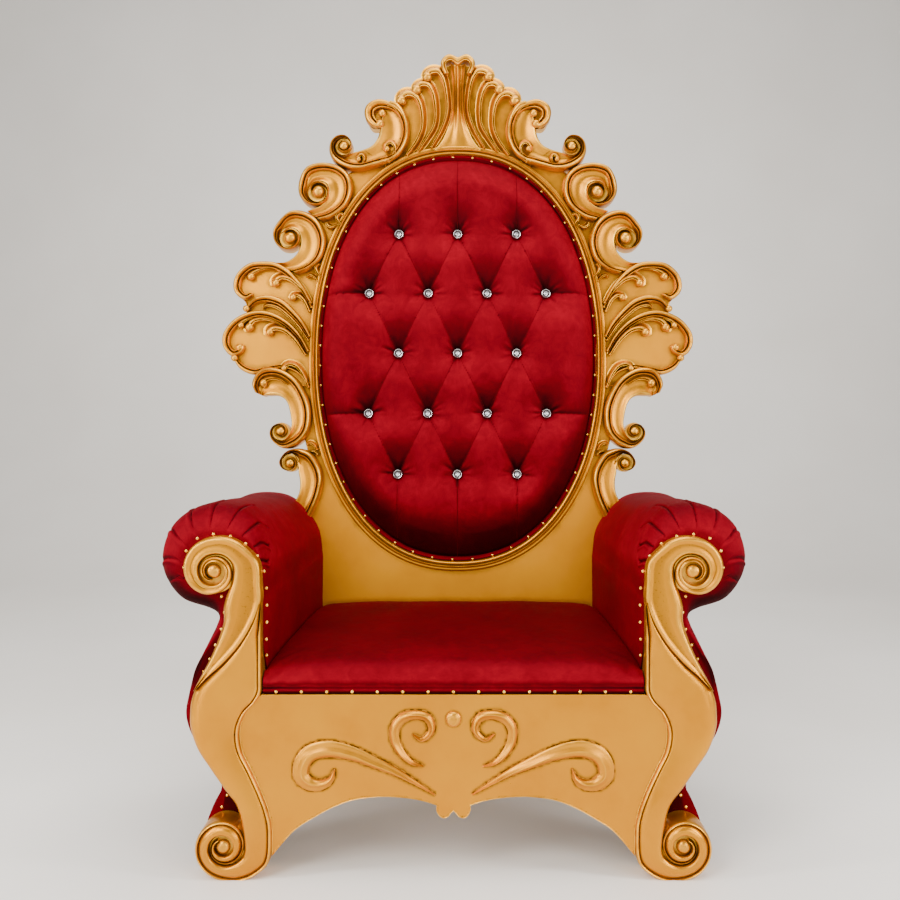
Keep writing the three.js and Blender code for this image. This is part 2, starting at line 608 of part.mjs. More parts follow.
// Corners round the arm at a depth; `swell` is 0 where the cloth is tucked in and 1 where it is full.
function armSection(depth, swell) {
  const foot = panelFoot(depth);
  const seat = seatHalf(depth);
  const drift = SEAT_HALF - seat;
  const roll = ARM_TUCKED.map(([x, y], i) => {
    const inward = Math.max(0, 1 - i / 4);
    const full = [ARM_FULL[i][0] - drift * inward, ARM_FULL[i][1]];
    return [x + (full[0] - x) * swell, y + (full[1] - y) * swell];
  });
  const sides = 7;
  const tuck = 10;
  const start = SIDE_PANEL[0][1];
  const panel = Array.from({ length: sides + 1 }, (_, i) => {
    const y = start + ((foot - start) * i) / sides;
    return [sidePanelPoint(y) - tuck * (1 - swell), y];
  });
  return [[PANEL_INNER, foot], [PANEL_INNER, 334], [seat, RAIL_TOP - DECK_THICK - 2], [seat, 470],
    ...roll, ...panel];
}

function arm() {
  const front = ARM_FRONT_THICK + GAP;
  const stations = [[front, 0], [front + 12, 0.45], [front + 34, 0.85], [front + 72, 1], [150, 1],
    [210, 1], [270, 1]];
  const sections = stations.map(([depth, swell]) => armSection(depth, swell)
    .map(([x, y]) => new THREE.Vector3(x, y, -depth)));
  sections.push(armSection(BACK_SEAT_DEPTH, 1)
    .map(([x, y]) => new THREE.Vector3(x, y, GAP - boardDepth(y))));
  const legRoom = block(-10, RAIL_TOP + GAP, -LEG_THICK - GAP, 10);
  return loft(sections).subtract(legRoom);
}

// Sabre leg on the rear end of the arm's frame, drawn from the side: [depth, height].
function rearLeg() {
  const touch = (height) => boardDepth(height) + GAP;
  const back = smooth([[touch(REAR_LEG_TOP) + 46, REAR_LEG_TOP], [touch(300) + 56, 300],
    [640, 170], [668, 80], [DEPTH, 0]]).getPoints(8);
  const frontEdge = smooth([[DEPTH - 56, 0], [622, 90], [597, 160], [touch(220), 220]])
    .getPoints(6);
  const outline = [...back, ...frontEdge].map(({ x, y }) => [x, y]);
  outline.push([touch(REAR_LEG_TOP), REAR_LEG_TOP]);
  return plate(outline, 0, REAR_LEG_WIDE);
}

// ---- the whole ----------------------------------------------------------------------------------
const throne = new THREE.Group();

function material({ color, roughness, metalness }) {
  return new THREE.MeshStandardMaterial({ color, roughness, metalness });
}

function piece(name, shape, finish, parent) {
  const mesh = new THREE.Mesh(geometryOf(shape), material(finish));
  mesh.name = name;
  parent.add(mesh);
  return mesh;
}

// Drawings of the front lie in this plane: x across, y up, z towards the viewer from the legs' face.
const front = new THREE.Group();
front.rotation.x = Math.PI / 2;
front.position.y = -DEPTH / 2;
throne.add(front);

// Drawings of the back lie in this one, leaning with the board, about the oval's centre.
const back = new THREE.Group();
back.rotation.x = Math.PI / 2 - RECLINE;
back.position.set(0, BACK_SEAT_DEPTH + OVAL_RISE * Math.sin(RECLINE) - DEPTH / 2,
  BACK_SEAT_HEIGHT + OVAL_RISE * Math.cos(RECLINE));
throne.add(back);

piece('back_frame', backFrame(), GOLD, back);
piece('back_pad', backPad(), VELVET, back);
piece('rear_cover', rearCover(), VELVET, back);
tuftPoints().forEach((point, i, tufts) => {
  const name = `button_${String(i + 1).padStart(2, '0')}`;
  piece(name, button(point, tufts), CRYSTAL, back);
});

const rightLeg = frontLeg();
piece('leg_right', rightLeg, GOLD, front);
piece('leg_left', rightLeg.mirror([1, 0, 0]), GOLD, front);
piece('front_rail', frontRail(), GOLD, front);
piece('seat_cushion', seatCushion(), VELVET, front);
piece('seat_deck', seatDeck(), WOOD, front);

const rightArm = arm();
piece('arm_right', rightArm, VELVET, front);
piece('arm_left', rightArm.mirror([1, 0, 0]), VELVET, front);

// Seen from the side, the rear legs' drawing has depth to the right and height up.
[['rear_leg_right', 1], ['rear_leg_left', -1]].forEach(([name, side]) => {
  const leg = piece(name, rearLeg(), GOLD, throne);
  leg.rotation.set(Math.PI / 2, Math.PI / 2, 0);
  leg.position.set(side * REAR_LEG_OUT - REAR_LEG_WIDE / 2, -DEPTH / 2, 0);
});

export default throne;
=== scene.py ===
"""Dresses the throne: carved gilding, buttoned velvet, upholstery nails and stone buttons."""

import math

import bmesh
import bpy
import numpy as np
from mathutils import Matrix, Vector, noise
from mathutils.bvhtree import BVHTree


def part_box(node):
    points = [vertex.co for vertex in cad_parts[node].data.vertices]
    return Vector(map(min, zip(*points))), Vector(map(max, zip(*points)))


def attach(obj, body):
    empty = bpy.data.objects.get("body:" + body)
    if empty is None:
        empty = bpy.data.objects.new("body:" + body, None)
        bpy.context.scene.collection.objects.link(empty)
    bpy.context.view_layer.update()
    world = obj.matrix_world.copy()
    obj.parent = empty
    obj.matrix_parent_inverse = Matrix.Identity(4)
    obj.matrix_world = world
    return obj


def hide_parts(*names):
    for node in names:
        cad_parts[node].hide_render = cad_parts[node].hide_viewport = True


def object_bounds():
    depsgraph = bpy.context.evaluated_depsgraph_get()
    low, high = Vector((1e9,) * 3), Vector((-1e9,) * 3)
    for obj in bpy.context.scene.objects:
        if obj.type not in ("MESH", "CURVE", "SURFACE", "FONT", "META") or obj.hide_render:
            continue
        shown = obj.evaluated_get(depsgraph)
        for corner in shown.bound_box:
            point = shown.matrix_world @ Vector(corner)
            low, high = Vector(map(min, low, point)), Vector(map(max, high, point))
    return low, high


bl_info = {
    "name": "Carved throne",
    "version": (1, 0, 0),
    "blender": (4, 5, 0),
    "location": "3D View > Sidebar > Throne",
    "description": "Builds the carving, upholstery and finishes of a gilded throne",
    "category": "Object",
}

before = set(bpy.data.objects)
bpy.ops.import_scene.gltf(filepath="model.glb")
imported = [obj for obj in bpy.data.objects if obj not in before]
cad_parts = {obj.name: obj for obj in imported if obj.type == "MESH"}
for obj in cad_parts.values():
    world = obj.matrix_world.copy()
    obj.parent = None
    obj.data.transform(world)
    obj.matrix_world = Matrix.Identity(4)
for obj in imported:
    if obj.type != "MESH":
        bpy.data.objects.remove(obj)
CAD_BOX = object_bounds()

MM = 0.001
RECLINE = math.radians(4)     # lean of the back
LEAN_FROM = 410.0             # height at which the depths of the leaning back are taken
LEG_TOUCH = 582.4             # depth there of the rear legs' front
BOARD = 24.0                  # thickness of the back board, behind its face
BACK_STEP = 0.5               # each layer of carving ends this much short of the one behind it
FLOOR = 15.0                  # hollow of the scrolls above the board's face
RIM = 30.0                    # crest of their rims
LEAF = 9.0                    # ground under the leaves and ribs
EYE = 32.0                    # top of the balls in the eyes
CREST_GAP = 0.05              # keeps the halves of the crest's ground apart at the middle
RING = 26.0                   # width of the moulding round the oval
OVAL_WIDE, OVAL_HIGH = 364.0, 534.0    # half axes of the oval
OVAL_POWER = 2.2
COVER_LEVEL = -27.4           # middle of the rear cover, from the board's face

# ---- carving of the back, right half, millimetres from the middle of the oval ---------------------
# Each rung runs from the rim of a scroll to the inner edge of its hollow.
SCROLLS = {
    "upper": dict(
        rungs=[(359, 355, 398, 384), (325, 366, 365, 397), (290, 398, 352, 412), (277, 440, 343, 432),
               (285, 478, 347, 452), (315, 504, 358, 460), (360, 513, 369, 461), (400, 501, 381, 457),
               (420, 462, 390, 445)],
        eye=(368, 435), floor=28, ball=16, side=-1),
    "middle": dict(
        rungs=[(420, 214, 481, 246), (385, 228, 456, 247), (357, 256, 434, 259), (346, 300, 419, 280),
               (353, 335, 415, 305), (372, 363, 421, 325), (405, 382, 434, 335), (440, 383, 448, 334),
               (470, 358, 461, 325)],
        eye=(441, 311), floor=29, ball=16, side=-1),
    "lower": dict(
        rungs=[(528, -97, 507, -107), (536, -73, 500, -105), (516, -38, 491, -105),
               (470, -32, 472, -105), (424, -57, 454, -113), (395, -98, 443, -128),
               (380, -150, 435, -160), (388, -205, 433, -184), (420, -238, 439, -207),
               (455, -243, 455, -222), (483, -221, 470, -214)],
        eye=(459, -199), floor=23, ball=13, side=1),
    "lowest": dict(
        rungs=[(392, -445, 442, -415), (366, -395, 424, -385), (352, -354, 411, -357),
               (348, -318, 409, -330), (357, -286, 413, -305), (380, -254, 414, -285),
               (415, -243, 423, -262), (445, -252, 437, -257), (462, -278, 450, -268)],
        eye=(433, -281), floor=23, ball=13, side=-1),
    "shoulder": dict(
        rungs=[(178, 512, 211, 585), (225, 499, 226, 562), (265, 491, 249, 550), (303, 499, 276, 541),
               (330, 519, 299, 530), (341, 545, 318, 540), (335, 572, 324, 556), (318, 585, 316, 570)],
        eye=(302, 556), floor=22, ball=13, side=1),
    "crest_hollow": dict(
        rungs=[(176, 680, 200, 648), (157, 673, 203, 630), (140, 651, 206, 618), (129, 620, 208, 604),
               (128, 585, 212, 586), (139, 551, 220, 569), (159, 526, 234, 556), (188, 509, 250, 550)],
        eye=None),
}

# Rounded rims with a fine line inside them, as (x, y, width) from tip to root.
RIMS = {
    "crest_lobe": [(207, 612, 14), (217, 617, 22), (232, 634, 26), (232, 658, 29), (211, 671, 27),
                   (184, 667, 21), (159, 652, 17), (140, 615, 15), (140, 570, 14), (160, 535, 12),
                   (184, 514, 9)],
    "top_leaf": [(537, 163, 9), (557, 154, 15), (577, 172, 19), (575, 203, 20), (545, 233, 20),
                 (505, 238, 20), (480, 235, 20), (448, 217, 19), (413, 180, 16), (385, 135, 9)],
    "middle_leaf": [(551, 120, 8), (531, 142, 15), (502, 149, 20), (466, 139, 20), (430, 108, 18),
                    (405, 78, 14), (388, 48, 9)],
    "wing": [(560, 28, 9), (567, 12, 15), (586, 5, 17), (603, 24, 19), (604, 52, 20), (577, 88, 20),
             (530, 108, 19), (492, 105, 18), (450, 84, 15), (414, 48, 12), (392, 10, 9)],
}
LIP = [(582, -8, 9), (562, -31, 15), (532, -43, 15), (503, -37, 12), (455, -30, 11), (418, -42, 10),
       (388, -75, 8)]
# Ribs with a soft outer slope and a fine line along the inner edge.
RIBS = {
    "crest_third": [(147, 674, 14), (151, 686, 20), (139, 699, 22), (119, 698, 20), (103, 682, 16),
                    (94, 648, 13), (94, 606, 11), (108, 570, 10), (135, 532, 8)],
    "crest_second": [(107, 702, 13), (110, 714, 18), (98, 726, 20), (79, 724, 18), (66, 705, 14),
                     (58, 660, 12), (61, 615, 10), (78, 582, 9), (106, 541, 7)],
    "crest_first": [(80, 738, 13), (82, 751, 18), (70, 761, 21), (52, 761, 19), (38, 741, 14),
                    (29, 698, 11), (27, 652, 10), (42, 603, 9), (70, 552, 7)],
    "top_tip": [(541, 199, 12), (543, 211, 18), (531, 221, 13), (505, 229, 8), (478, 226, 4)],
    "top_vein": [(475, 183, 12), (478, 194, 19), (467, 205, 17), (444, 203, 15), (420, 186, 13),
                 (396, 156, 9), (383, 125, 6)],
    "top_root": [(429, 145, 10), (431, 154, 16), (419, 158, 13), (402, 145, 12), (388, 115, 8)],
    "middle_vein": [(512, 122, 5), (500, 131, 10), (474, 127, 11), (446, 107, 11), (417, 77, 10),
                    (390, 38, 7)],
    "wing_tip": [(540, 63, 13), (545, 76, 20), (535, 90, 17), (510, 96, 12), (482, 91, 8),
                 (450, 72, 6)],
    "wing_tip_twin": [(563, 70, 10), (566, 82, 15), (556, 92, 12), (538, 97, 6)],
    "wing_vein": [(489, 52, 13), (492, 63, 20), (480, 71, 17), (455, 67, 15), (425, 42, 12),
                  (397, 0, 8)],
    "lip_vein": [(450, -41, 8), (453, -32, 13), (440, -23, 14), (420, -28, 13), (402, -50, 11),
                 (388, -85, 7)],
    "lower_head": [(500, -86, 9), (507, -71, 17), (492, -61, 14), (468, -62, 9), (442, -76, 5)],
    "shoulder_leaf": [(262, 516, 7), (263, 528, 12), (253, 534, 12), (247, 524, 9), (252, 509, 6)],
    "hollow_leaf": [(186, 541, 8), (192, 557, 13), (180, 568, 14), (167, 559, 12), (166, 538, 10),
                    (182, 514, 7)],
    "upper_filler": [(300, 372, 6), (311, 374, 11), (318, 364, 11), (310, 350, 8), (296, 338, 5)],
    "upper_filler_low": [(346, 356, 6), (342, 344, 10), (332, 340, 9), (318, 346, 5)],
    "middle_filler": [(362, 243, 5), (372, 233, 9), (368, 219, 9), (359, 209, 6)],
    "middle_filler_low": [(398, 206, 5), (388, 212, 8), (376, 206, 7), (368, 194, 5)],
    "lower_filler": [(392, -236, 5), (383, -229, 9), (372, -234, 8), (364, -247, 5)],
    "lower_filler_low": [(360, -262, 5), (370, -252, 8), (382, -250, 7), (392, -254, 4)],
}
KNOBS = [(207, 617, 11), (201, 645, 10), (151, 681, 14), (110, 710, 13), (82, 745, 13), (542, 207, 10),
         (477, 190, 10), (431, 152, 9), (544, 73, 11), (566, 78, 8), (491, 60, 11), (452, -35, 8),
         (505, -73, 10), (553, 122, 9), (569, 20, 10), (582, -8, 9), (262, 520, 6), (187, 548, 7)]

WING_GROUND = [(370, 150), (384, 150), (425, 208), (453, 232), (479, 245), (511, 248), (542, 242),
               (567, 225), (583, 203), (587, 183), (581, 160), (562, 146), (553, 127), (557, 108),
               (579, 97), (605, 74), (615, 45), (612, 21), (601, 3), (583, -6), (572, -26),
               (555, -40), (526, -50), (480, -60), (400, -80), (370, -80)]
CREST_GROUND = [(0, 785), (60, 765), (82, 738), (100, 728), (115, 704), (140, 698),
                (158, 674), (200, 684), (232, 672), (243, 640), (228, 608), (200, 606), (175, 600),
                (200, 530), (190, 500)]
BOARD_EDGE = [(0, 700), (60, 690), (120, 640), (170, 560), (245, 510), (300, 480), (318, 420),
              (375, 350), (392, 270), (425, 240), (450, 208), (440, 120), (424, -60), (405, -130),
              (402, -200), (395, -238), (375, -300), (376, -370), (398, -420), (402, -470),
              (402, -830)]
CAP_SIDE = [(-37, 750, -24, 752), (-43, 764, -30, 765), (-45, 775, -32, 773), (-46, 784, -31, 779),
            (-38, 797, -27, 784), (-24, 805, -18, 786), (-10, 801, -8, 781)]
CAP = [*CAP_SIDE, (0, 797, 0, 775), *((-a, b, -c, d) for a, b, c, d in reversed(CAP_SIDE))]
FLUTE = [(62, 546), (44, 567), (32, 590), (19, 628), (13, 668), (13, 704), (15, 735), (20, 780)]


# ---- shapes ---------------------------------------------------------------------------------------
def smooth_path(points, count, places=2):
    """Evenly spaced points on a smooth curve through the given ones; further values ride along."""
    given = np.array(points, float)
    gaps = np.linalg.norm(np.diff(given[:, :places], axis=0), axis=1)
    knots = np.concatenate([[0.0], np.cumsum(np.sqrt(np.maximum(gaps, 1e-6)))])
    slopes = np.diff(given, axis=0) / np.diff(knots)[:, None]
    tangents = np.empty_like(given)
    tangents[0], tangents[-1] = slopes[0], slopes[-1]
    before, after = np.diff(knots)[:-1, None], np.diff(knots)[1:, None]
    tangents[1:-1] = (slopes[:-1] * after + slopes[1:] * before) / (before + after)
    fine = []
    for i in range(len(given) - 1):
        span = knots[i + 1] - knots[i]
        for t in np.linspace(0, 1, 17)[: 17 if i == len(given) - 2 else 16]:
            fine.append((2 * t**3 - 3 * t**2 + 1) * given[i]
                        + (t**3 - 2 * t**2 + t) * span * tangents[i]
                        + (3 * t**2 - 2 * t**3) * given[i + 1]
                        + (t**3 - t**2) * span * tangents[i + 1])
    fine = np.array(fine)
    steps = np.linalg.norm(np.diff(fine[:, :places], axis=0), axis=1)
    run = np.concatenate([[0.0], np.cumsum(steps)])
    even = np.linspace(0, run[-1], count + 1)
    return [tuple(row) for row in np.stack([np.interp(even, run, column) for column in fine.T], 1)]


def path_length(points):
    return sum(math.dist(a[:2], b[:2]) for a, b in zip(points, points[1:]))


def skin(mesh, sections, ends=True):
    """A tube over a row of closed sections. Its grid is wrapped round and welded along the seam."""
    across, along = len(sections[0]), len(sections) - 1
    made = bmesh.ops.create_grid(mesh, x_segments=across, y_segments=along, size=1.0)["verts"]
    rows = [made[j * (across + 1):(j + 1) * (across + 1)] for j in range(along + 1)]
    for row, section in zip(rows, sections):
        for vert, place in zip(row, section):
            vert.co = place
        row[-1].co = section[0]
    bmesh.ops.weld_verts(mesh, targetmap={row[-1]: row[0] for row in rows})
    for row in (rows[0], rows[-1]) if ends else ():
        loop = set(row[:-1])
        edges = {edge for vert in loop for edge in vert.link_edges if edge.other_vert(vert) in loop}
        bmesh.ops.holes_fill(mesh, edges=list(edges), sides=0)


def band(mesh, rungs, steps, profile, back):
    """A band between two edges; profile(width) lists (share across, level) from rim to inner edge."""
    sections = []
    for x0, y0, x1, y1 in smooth_path(rungs, steps, 4):
        rows = profile(math.hypot(x1 - x0, y1 - y0))
        rows = [(rows[0][0], back), *rows, (rows[-1][0], back), (0.88, back), (0.12, back)]
        sections.append([(x0 + (x1 - x0) * s, y0 + (y1 - y0) * s, level) for s, level in rows])
    skin(mesh, sections)


def rib(mesh, points, low, high, profile, step=4.0, side=1, sink=6.0, round_tip=True):
    """A rib along (x, y, width), its tip rounded; profile lists (share across, share of height)."""
    steps = max(6, round(path_length(points) / step))
    rows = smooth_path(points, steps)
    tip = rows[0][2] * 0.55
    run = 0.0
    sections = []
    for i, (x, y, width) in enumerate(rows):
        ahead, behind = rows[min(i + 1, steps)], rows[max(i - 1, 0)]
        run += math.dist(rows[i][:2], rows[max(i - 1, 0)][:2])
        tangent = Vector((ahead[0] - behind[0], ahead[1] - behind[1])).normalized()
        share = min(1.0, run / tip) if round_tip else 1.0
        cap = math.sqrt(max(0.0, 1 - (1 - share) ** 2)) + 0.02
        half = width / 2 * cap * side
        crest = (high - low) * min(1.0, 0.35 + width / 18) * min(1.0, cap)
        section = [(x - tangent.y * half * s, y + tangent.x * half * s, low + crest * lift)
                   for s, lift in profile]
        first, last = section[0], section[-1]
        sections.append([(*first[:2], low - sink), *section, (*last[:2], low - sink)])
    skin(mesh, sections)


def plate(mesh, outline, low, high, edge, cell=14.0):
    """A flat outline given thickness, its front edge softened and its face cut into cells."""
    verts = [mesh.verts.new((x, y, low)) for x, y in outline]
    edges = [mesh.edges.new((a, b)) for a, b in zip(verts, verts[1:] + verts[:1])]
    face = bmesh.ops.contextual_create(mesh, geom=verts + edges)["faces"]
    raised = bmesh.ops.extrude_face_region(mesh, geom=face, use_keep_orig=True)["geom"]
    top = [item for item in raised if isinstance(item, bmesh.types.BMVert)]
    bmesh.ops.translate(mesh, verts=top, vec=(0, 0, high - low))
    lid = [item for item in raised if isinstance(item, bmesh.types.BMFace)]
    bmesh.ops.inset_region(mesh, faces=lid, thickness=edge, depth=0.0, use_even_offset=True)
    for vert in top:
        vert.co.z = high - edge * 0.7
    faces = {near for vert in verts + top for near in vert.link_faces}
    faces |= {near for face in faces for vert in face.verts for near in vert.link_faces}
    (low_x, low_y), (high_x, high_y) = np.min(outline, axis=0), np.max(outline, axis=0)
    cuts = [((x, 0, 0), (1, 0, 0)) for x in np.arange(low_x + cell / 2, high_x, cell)]
    cuts += [((0, y, 0), (0, 1, 0)) for y in np.arange(low_y + cell / 2, high_y, cell)]
    for place, normal in cuts:
        edges = {edge for face in faces for edge in face.edges}
        geom = [*faces, *edges, *{vert for face in faces for vert in face.verts}]
        cut = bmesh.ops.bisect_plane(mesh, geom=geom, dist=1e-4, plane_co=place, plane_no=normal)
        faces = {item for item in cut["geom"] if isinstance(item, bmesh.types.BMFace)}


def knob(mesh, x, y, radius, level, squash=1.0, sides=16, rings=10):
    ball = bmesh.ops.create_uvsphere(mesh, u_segments=sides, v_segments=rings, radius=radius)["verts"]
    bmesh.ops.transform(mesh, verts=ball, matrix=Matrix.Translation((x, y, level))
                        @ Matrix.Diagonal((1, 1, squash, 1)))


def turned(mesh, x, y, profile, sides):
    """A turned solid facing out of the drawing; profile lists (radius, level) from axis to axis."""
    sections = []
    for i in range(sides + 1):
        angle = 2 * math.pi * i / sides
        sections.append([(x + r * math.cos(angle), y + r * math.sin(angle), z) for r, z in profile])
    across = len(profile)
    made = bmesh.ops.create_grid(mesh, x_segments=across - 1, y_segments=sides, size=1.0)["verts"]
    for j, section in enumerate(sections):
        for vert, place in zip(made[j * across:(j + 1) * across], section):
            vert.co = place
    bmesh.ops.remove_doubles(mesh, verts=made, dist=1e-4)


def wholly(half):
    """A right-hand outline carried on round the left."""
    return list(half) + [(-x, y) for x, y in reversed(half) if x > 0]


def everything(mesh):
    return mesh.verts[:] + mesh.edges[:] + mesh.faces[:]


def mirrored(mesh):
    """Adds the left-hand half of a drawing to its right-hand half."""
    bmesh.ops.mirror(mesh, geom=everything(mesh), matrix=Matrix(), merge_dist=-1.0, axis="X")


def turned_left(mesh):
    """Makes a right-hand piece into the left-hand one."""
    bmesh.ops.scale(mesh, verts=mesh.verts, vec=(-1, 1, 1))


def closed_behind(mesh, level):
    """Carries the border of a sheet back to a level and closes it there."""
    border = [edge for edge in mesh.edges if edge.is_boundary]
    side = bmesh.ops.extrude_edge_only(mesh, edges=border)["geom"]
    for vert in (item for item in side if isinstance(item, bmesh.types.BMVert)):
        vert.co.z = level
    bmesh.ops.holes_fill(mesh, edges=[e for e in mesh.edges if e.is_boundary], sides=0)


def use_finish(mesh, index, first, last=None):
    """Gives a run of a mesh's faces one of the materials of its piece."""
    mesh.faces.ensure_lookup_table()
    for face in mesh.faces[first:last]:
        face.material_index = index


def finished(mesh, name, matrix, material, nodes, smooth_angle):
    """Turns a mesh into a piece that sits at the origin, rides on the root and replaces its nodes."""
    bmesh.ops.transform(mesh, verts=mesh.verts, matrix=matrix)
    bmesh.ops.remove_doubles(mesh, verts=mesh.verts, dist=2e-6)
    bmesh.ops.recalc_face_normals(mesh, faces=mesh.faces)
    data = bpy.data.meshes.new(name)
    mesh.to_mesh(data)
    mesh.free()
    data.shade_smooth()
    data.set_sharp_from_angle(angle=math.radians(smooth_angle))
    data.materials.append(material)
    piece = bpy.data.objects.new(name, data)
    bpy.context.scene.collection.objects.link(piece)
    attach(piece, "root")
    if nodes:
        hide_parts(*nodes)
    return piece


# ---- frames of reference --------------------------------------------------------------------------
def back_place():
    """Places a drawing of the back: x across, y up the board, z out of its face, in millimetres."""
    low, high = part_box("rear_cover")
    turn = Matrix.Rotation(math.pi / 2 - RECLINE, 4, "X")
    middle = (low + high) / 2 - (turn @ Vector((0, 0, COVER_LEVEL * MM)))
    return Matrix.Translation(middle) @ turn @ Matrix.Scale(MM, 4)


def front_place():
    """Places a drawing of the front: x across, y up, z towards the sitter's feet, in millimetres."""
    front = CAD_BOX[0][1]
    return (Matrix.Translation((0, front, 0)) @ Matrix.Rotation(math.pi / 2, 4, "X")
            @ Matrix.Scale(MM, 4))


def oval_point(angle, offset=0.0):
    half_wide, half_high = OVAL_WIDE + offset, OVAL_HIGH + offset
    cos, sin = math.cos(angle), math.sin(angle)
    power = 2 / OVAL_POWER
    return (half_wide * math.copysign(abs(cos) ** power, cos),
            half_high * math.copysign(abs(sin) ** power, sin))


def oval_ring(offset, steps):
    """A closed row of points round the oval."""
    return [oval_point(2 * math.pi * i / steps, offset) for i in range(steps + 1)]


def oval_share(x, y, offset=0.0):
    """How far out of the oval's middle a place lies, its edge being at one."""
    wide, high = OVAL_WIDE + offset, OVAL_HIGH + offset
    return (abs(x / wide) ** OVAL_POWER + abs(y / high) ** OVAL_POWER) ** (1 / OVAL_POWER)


# ---- shelter and bend of the surfaces -------------------------------------------------------------
RAYS = 14                     # directions tried at each vertex
REAR_FACING = 0.9             # surfaces turned back further than this get no painted shade and no painted highlight or wear


def measure_relief(piece, reach=24.0, soft=False):
    """Stores how sheltered, how convex and how far turned up the surface is at each vertex, from which
    the finishes paint shade, highlights and light from above.
    """
    data = piece.data
    mesh = bmesh.new()
    mesh.from_mesh(data)
    mesh.normal_update()
    tree = BVHTree.FromBMesh(mesh)
    golden = math.pi * (3 - math.sqrt(5))
    rays = []
    for i in range(RAYS):
        up = 1 - (i + 0.5) / RAYS * 0.85
        flat = math.sqrt(1 - up * up)
        rays.append((flat * math.cos(i * golden), flat * math.sin(i * golden), up))
    values = []
    for vert in mesh.verts:
        normal = vert.normal
        side = normal.orthogonal().normalized()
        other = normal.cross(side)
        origin = vert.co + normal * 0.0004
        total = 0.0
        for a, b, c in rays:
            hit = tree.ray_cast(origin, side * a + other * b + normal * c, reach * MM)
            if hit[0] is not None:
                total += 1 - hit[3] / (reach * MM)
        bend = lengths = 0.0
        for edge in vert.link_edges:
            away = edge.other_vert(vert).co - vert.co
            bend -= away.dot(normal)
            lengths += away.length
        convex = max(-1, min(1, 3 * bend / max(lengths, 1e-9)))
        values.append((1 - total / RAYS, 0.5 + 0.5 * convex))
    smoothed = []
    for vert in mesh.verts:
        near = [values[edge.other_vert(vert).index] for edge in vert.link_edges]
        smoothed.append([0.5 * own + 0.5 * sum(pair[k] for pair in near) / max(1, len(near))
                         for k, own in enumerate(values[vert.index])])
    relief = data.color_attributes.new(name="relief", type="FLOAT_COLOR", domain="POINT")
    colours = np.ones((len(values), 4), np.float32)
    colours[:, :2] = smoothed if soft else [(pair[0], own[1]) for pair, own in zip(smoothed, values)]
    colours[:, 2] = [0.5 + 0.5 * vert.normal.z for vert in mesh.verts]
    colours[[vert.normal.y > REAR_FACING for vert in mesh.verts], :2] = (1.0, 0.5)
    relief.data.foreach_set("color", colours.ravel())
    mesh.free()


# ---- materials ------------------------------------------------------------------------------------
MOTTLING = {"Broad": 6.0, "Middle": 40.0, "Fine": 400.0}


def put(tree, socket, value):
    """Gives a socket the output of another node, or a value of its own."""
    if isinstance(value, bpy.types.NodeSocket):
        tree.links.new(value, socket)
    else:
        socket.default_value = value


def node(tree, kind, **values):
    """A new node; a name that begins with in_ sets an input, any other a property."""
    made = tree.nodes.new(kind)
    for name, value in values.items():
        if name.startswith("in_"):
            put(tree, made.inputs[name[3:]], value)
        else:
            setattr(made, name, value)
    return made


def ramp(tree, factor, stops):
    """A colour ramp; a stop's colour may be one number, for a grey."""
    made = node(tree, "ShaderNodeValToRGB", in_Fac=factor)
    elements = made.color_ramp.elements
    while len(elements) < len(stops):
        elements.new(0.5)
    for element, (place, colour) in zip(elements, stops):
        element.position = place
        element.color = colour if isinstance(colour, tuple) else (colour, colour, colour, 1)
    return made.outputs["Color"]


def maths(tree, operation, *values):
    made = node(tree, "ShaderNodeMath", operation=operation)
    for socket, value in zip(made.inputs, values):
        put(tree, socket, value)
    return made.outputs[0]


def product(tree, a, b):
    return maths(tree, "MULTIPLY", a, b)


def summed(tree, start, *parts):
    """A start with more added to it, each part being a value and its weight."""
    for value, weight in parts:
        start = maths(tree, "ADD", start, product(tree, value, weight))
    return start


def mixed(tree, factor, a, b, blend="MIX"):
    made = node(tree, "ShaderNodeMix", data_type="RGBA", blend_type=blend)
    for index, value in ((0, factor), (6, a), (7, b)):
        put(tree, made.inputs[index], value)
    return made.outputs[2]


def coordinates(tree):
    return node(tree, "ShaderNodeTexCoord").outputs["Object"]


def clouds(tree, **values):
    return node(tree, "ShaderNodeTexNoise", in_Vector=coordinates(tree), **values).outputs["Fac"]


def grain_group():
    """Mottling at three sizes, shared by every finish."""
    name = "mottling"
    if name in bpy.data.node_groups:
        return bpy.data.node_groups[name]
    tree = bpy.data.node_groups.new(name, "ShaderNodeTree")
    for label, scale in MOTTLING.items():
        socket = tree.interface.new_socket(label + " Scale", in_out="INPUT",
                                           socket_type="NodeSocketFloat")
        socket.default_value = scale
    for label in MOTTLING:
        tree.interface.new_socket(label, in_out="OUTPUT", socket_type="NodeSocketFloat")
    source, end = node(tree, "NodeGroupInput"), node(tree, "NodeGroupOutput")
    for label in MOTTLING:
        scale = source.outputs[label + " Scale"]
        put(tree, end.inputs[label], clouds(tree, in_Scale=scale, in_Detail=3.0))
    return tree


def mottling(tree, *scales):
    made = node(tree, "ShaderNodeGroup", node_tree=grain_group())
    for label, scale in zip(MOTTLING, scales):
        made.inputs[label + " Scale"].default_value = scale
    return [made.outputs[label] for label in MOTTLING]


def relief_of(tree):
    """How open, how convex and how far turned up the surface is."""
    stored = node(tree, "ShaderNodeAttribute", attribute_name="relief").outputs["Color"]
    return node(tree, "ShaderNodeSeparateColor", in_Color=stored).outputs[:]


def fresh_material(name):
    material = bpy.data.materials.new(name)
    material.use_nodes = True
    tree = material.node_tree
    return material, tree, tree.nodes["Principled BSDF"]


def dressed(tree, shader, **sockets):
    """Sets sockets of a shader, whose names are written with underscores."""
    for name, value in sockets.items():
        put(tree, shader.inputs[name.replace("_", " ")], value)


def bumped(tree, height, strength, distance):
    return node(tree, "ShaderNodeBump", in_Strength=strength, in_Distance=distance,
                in_Height=height).outputs["Normal"]


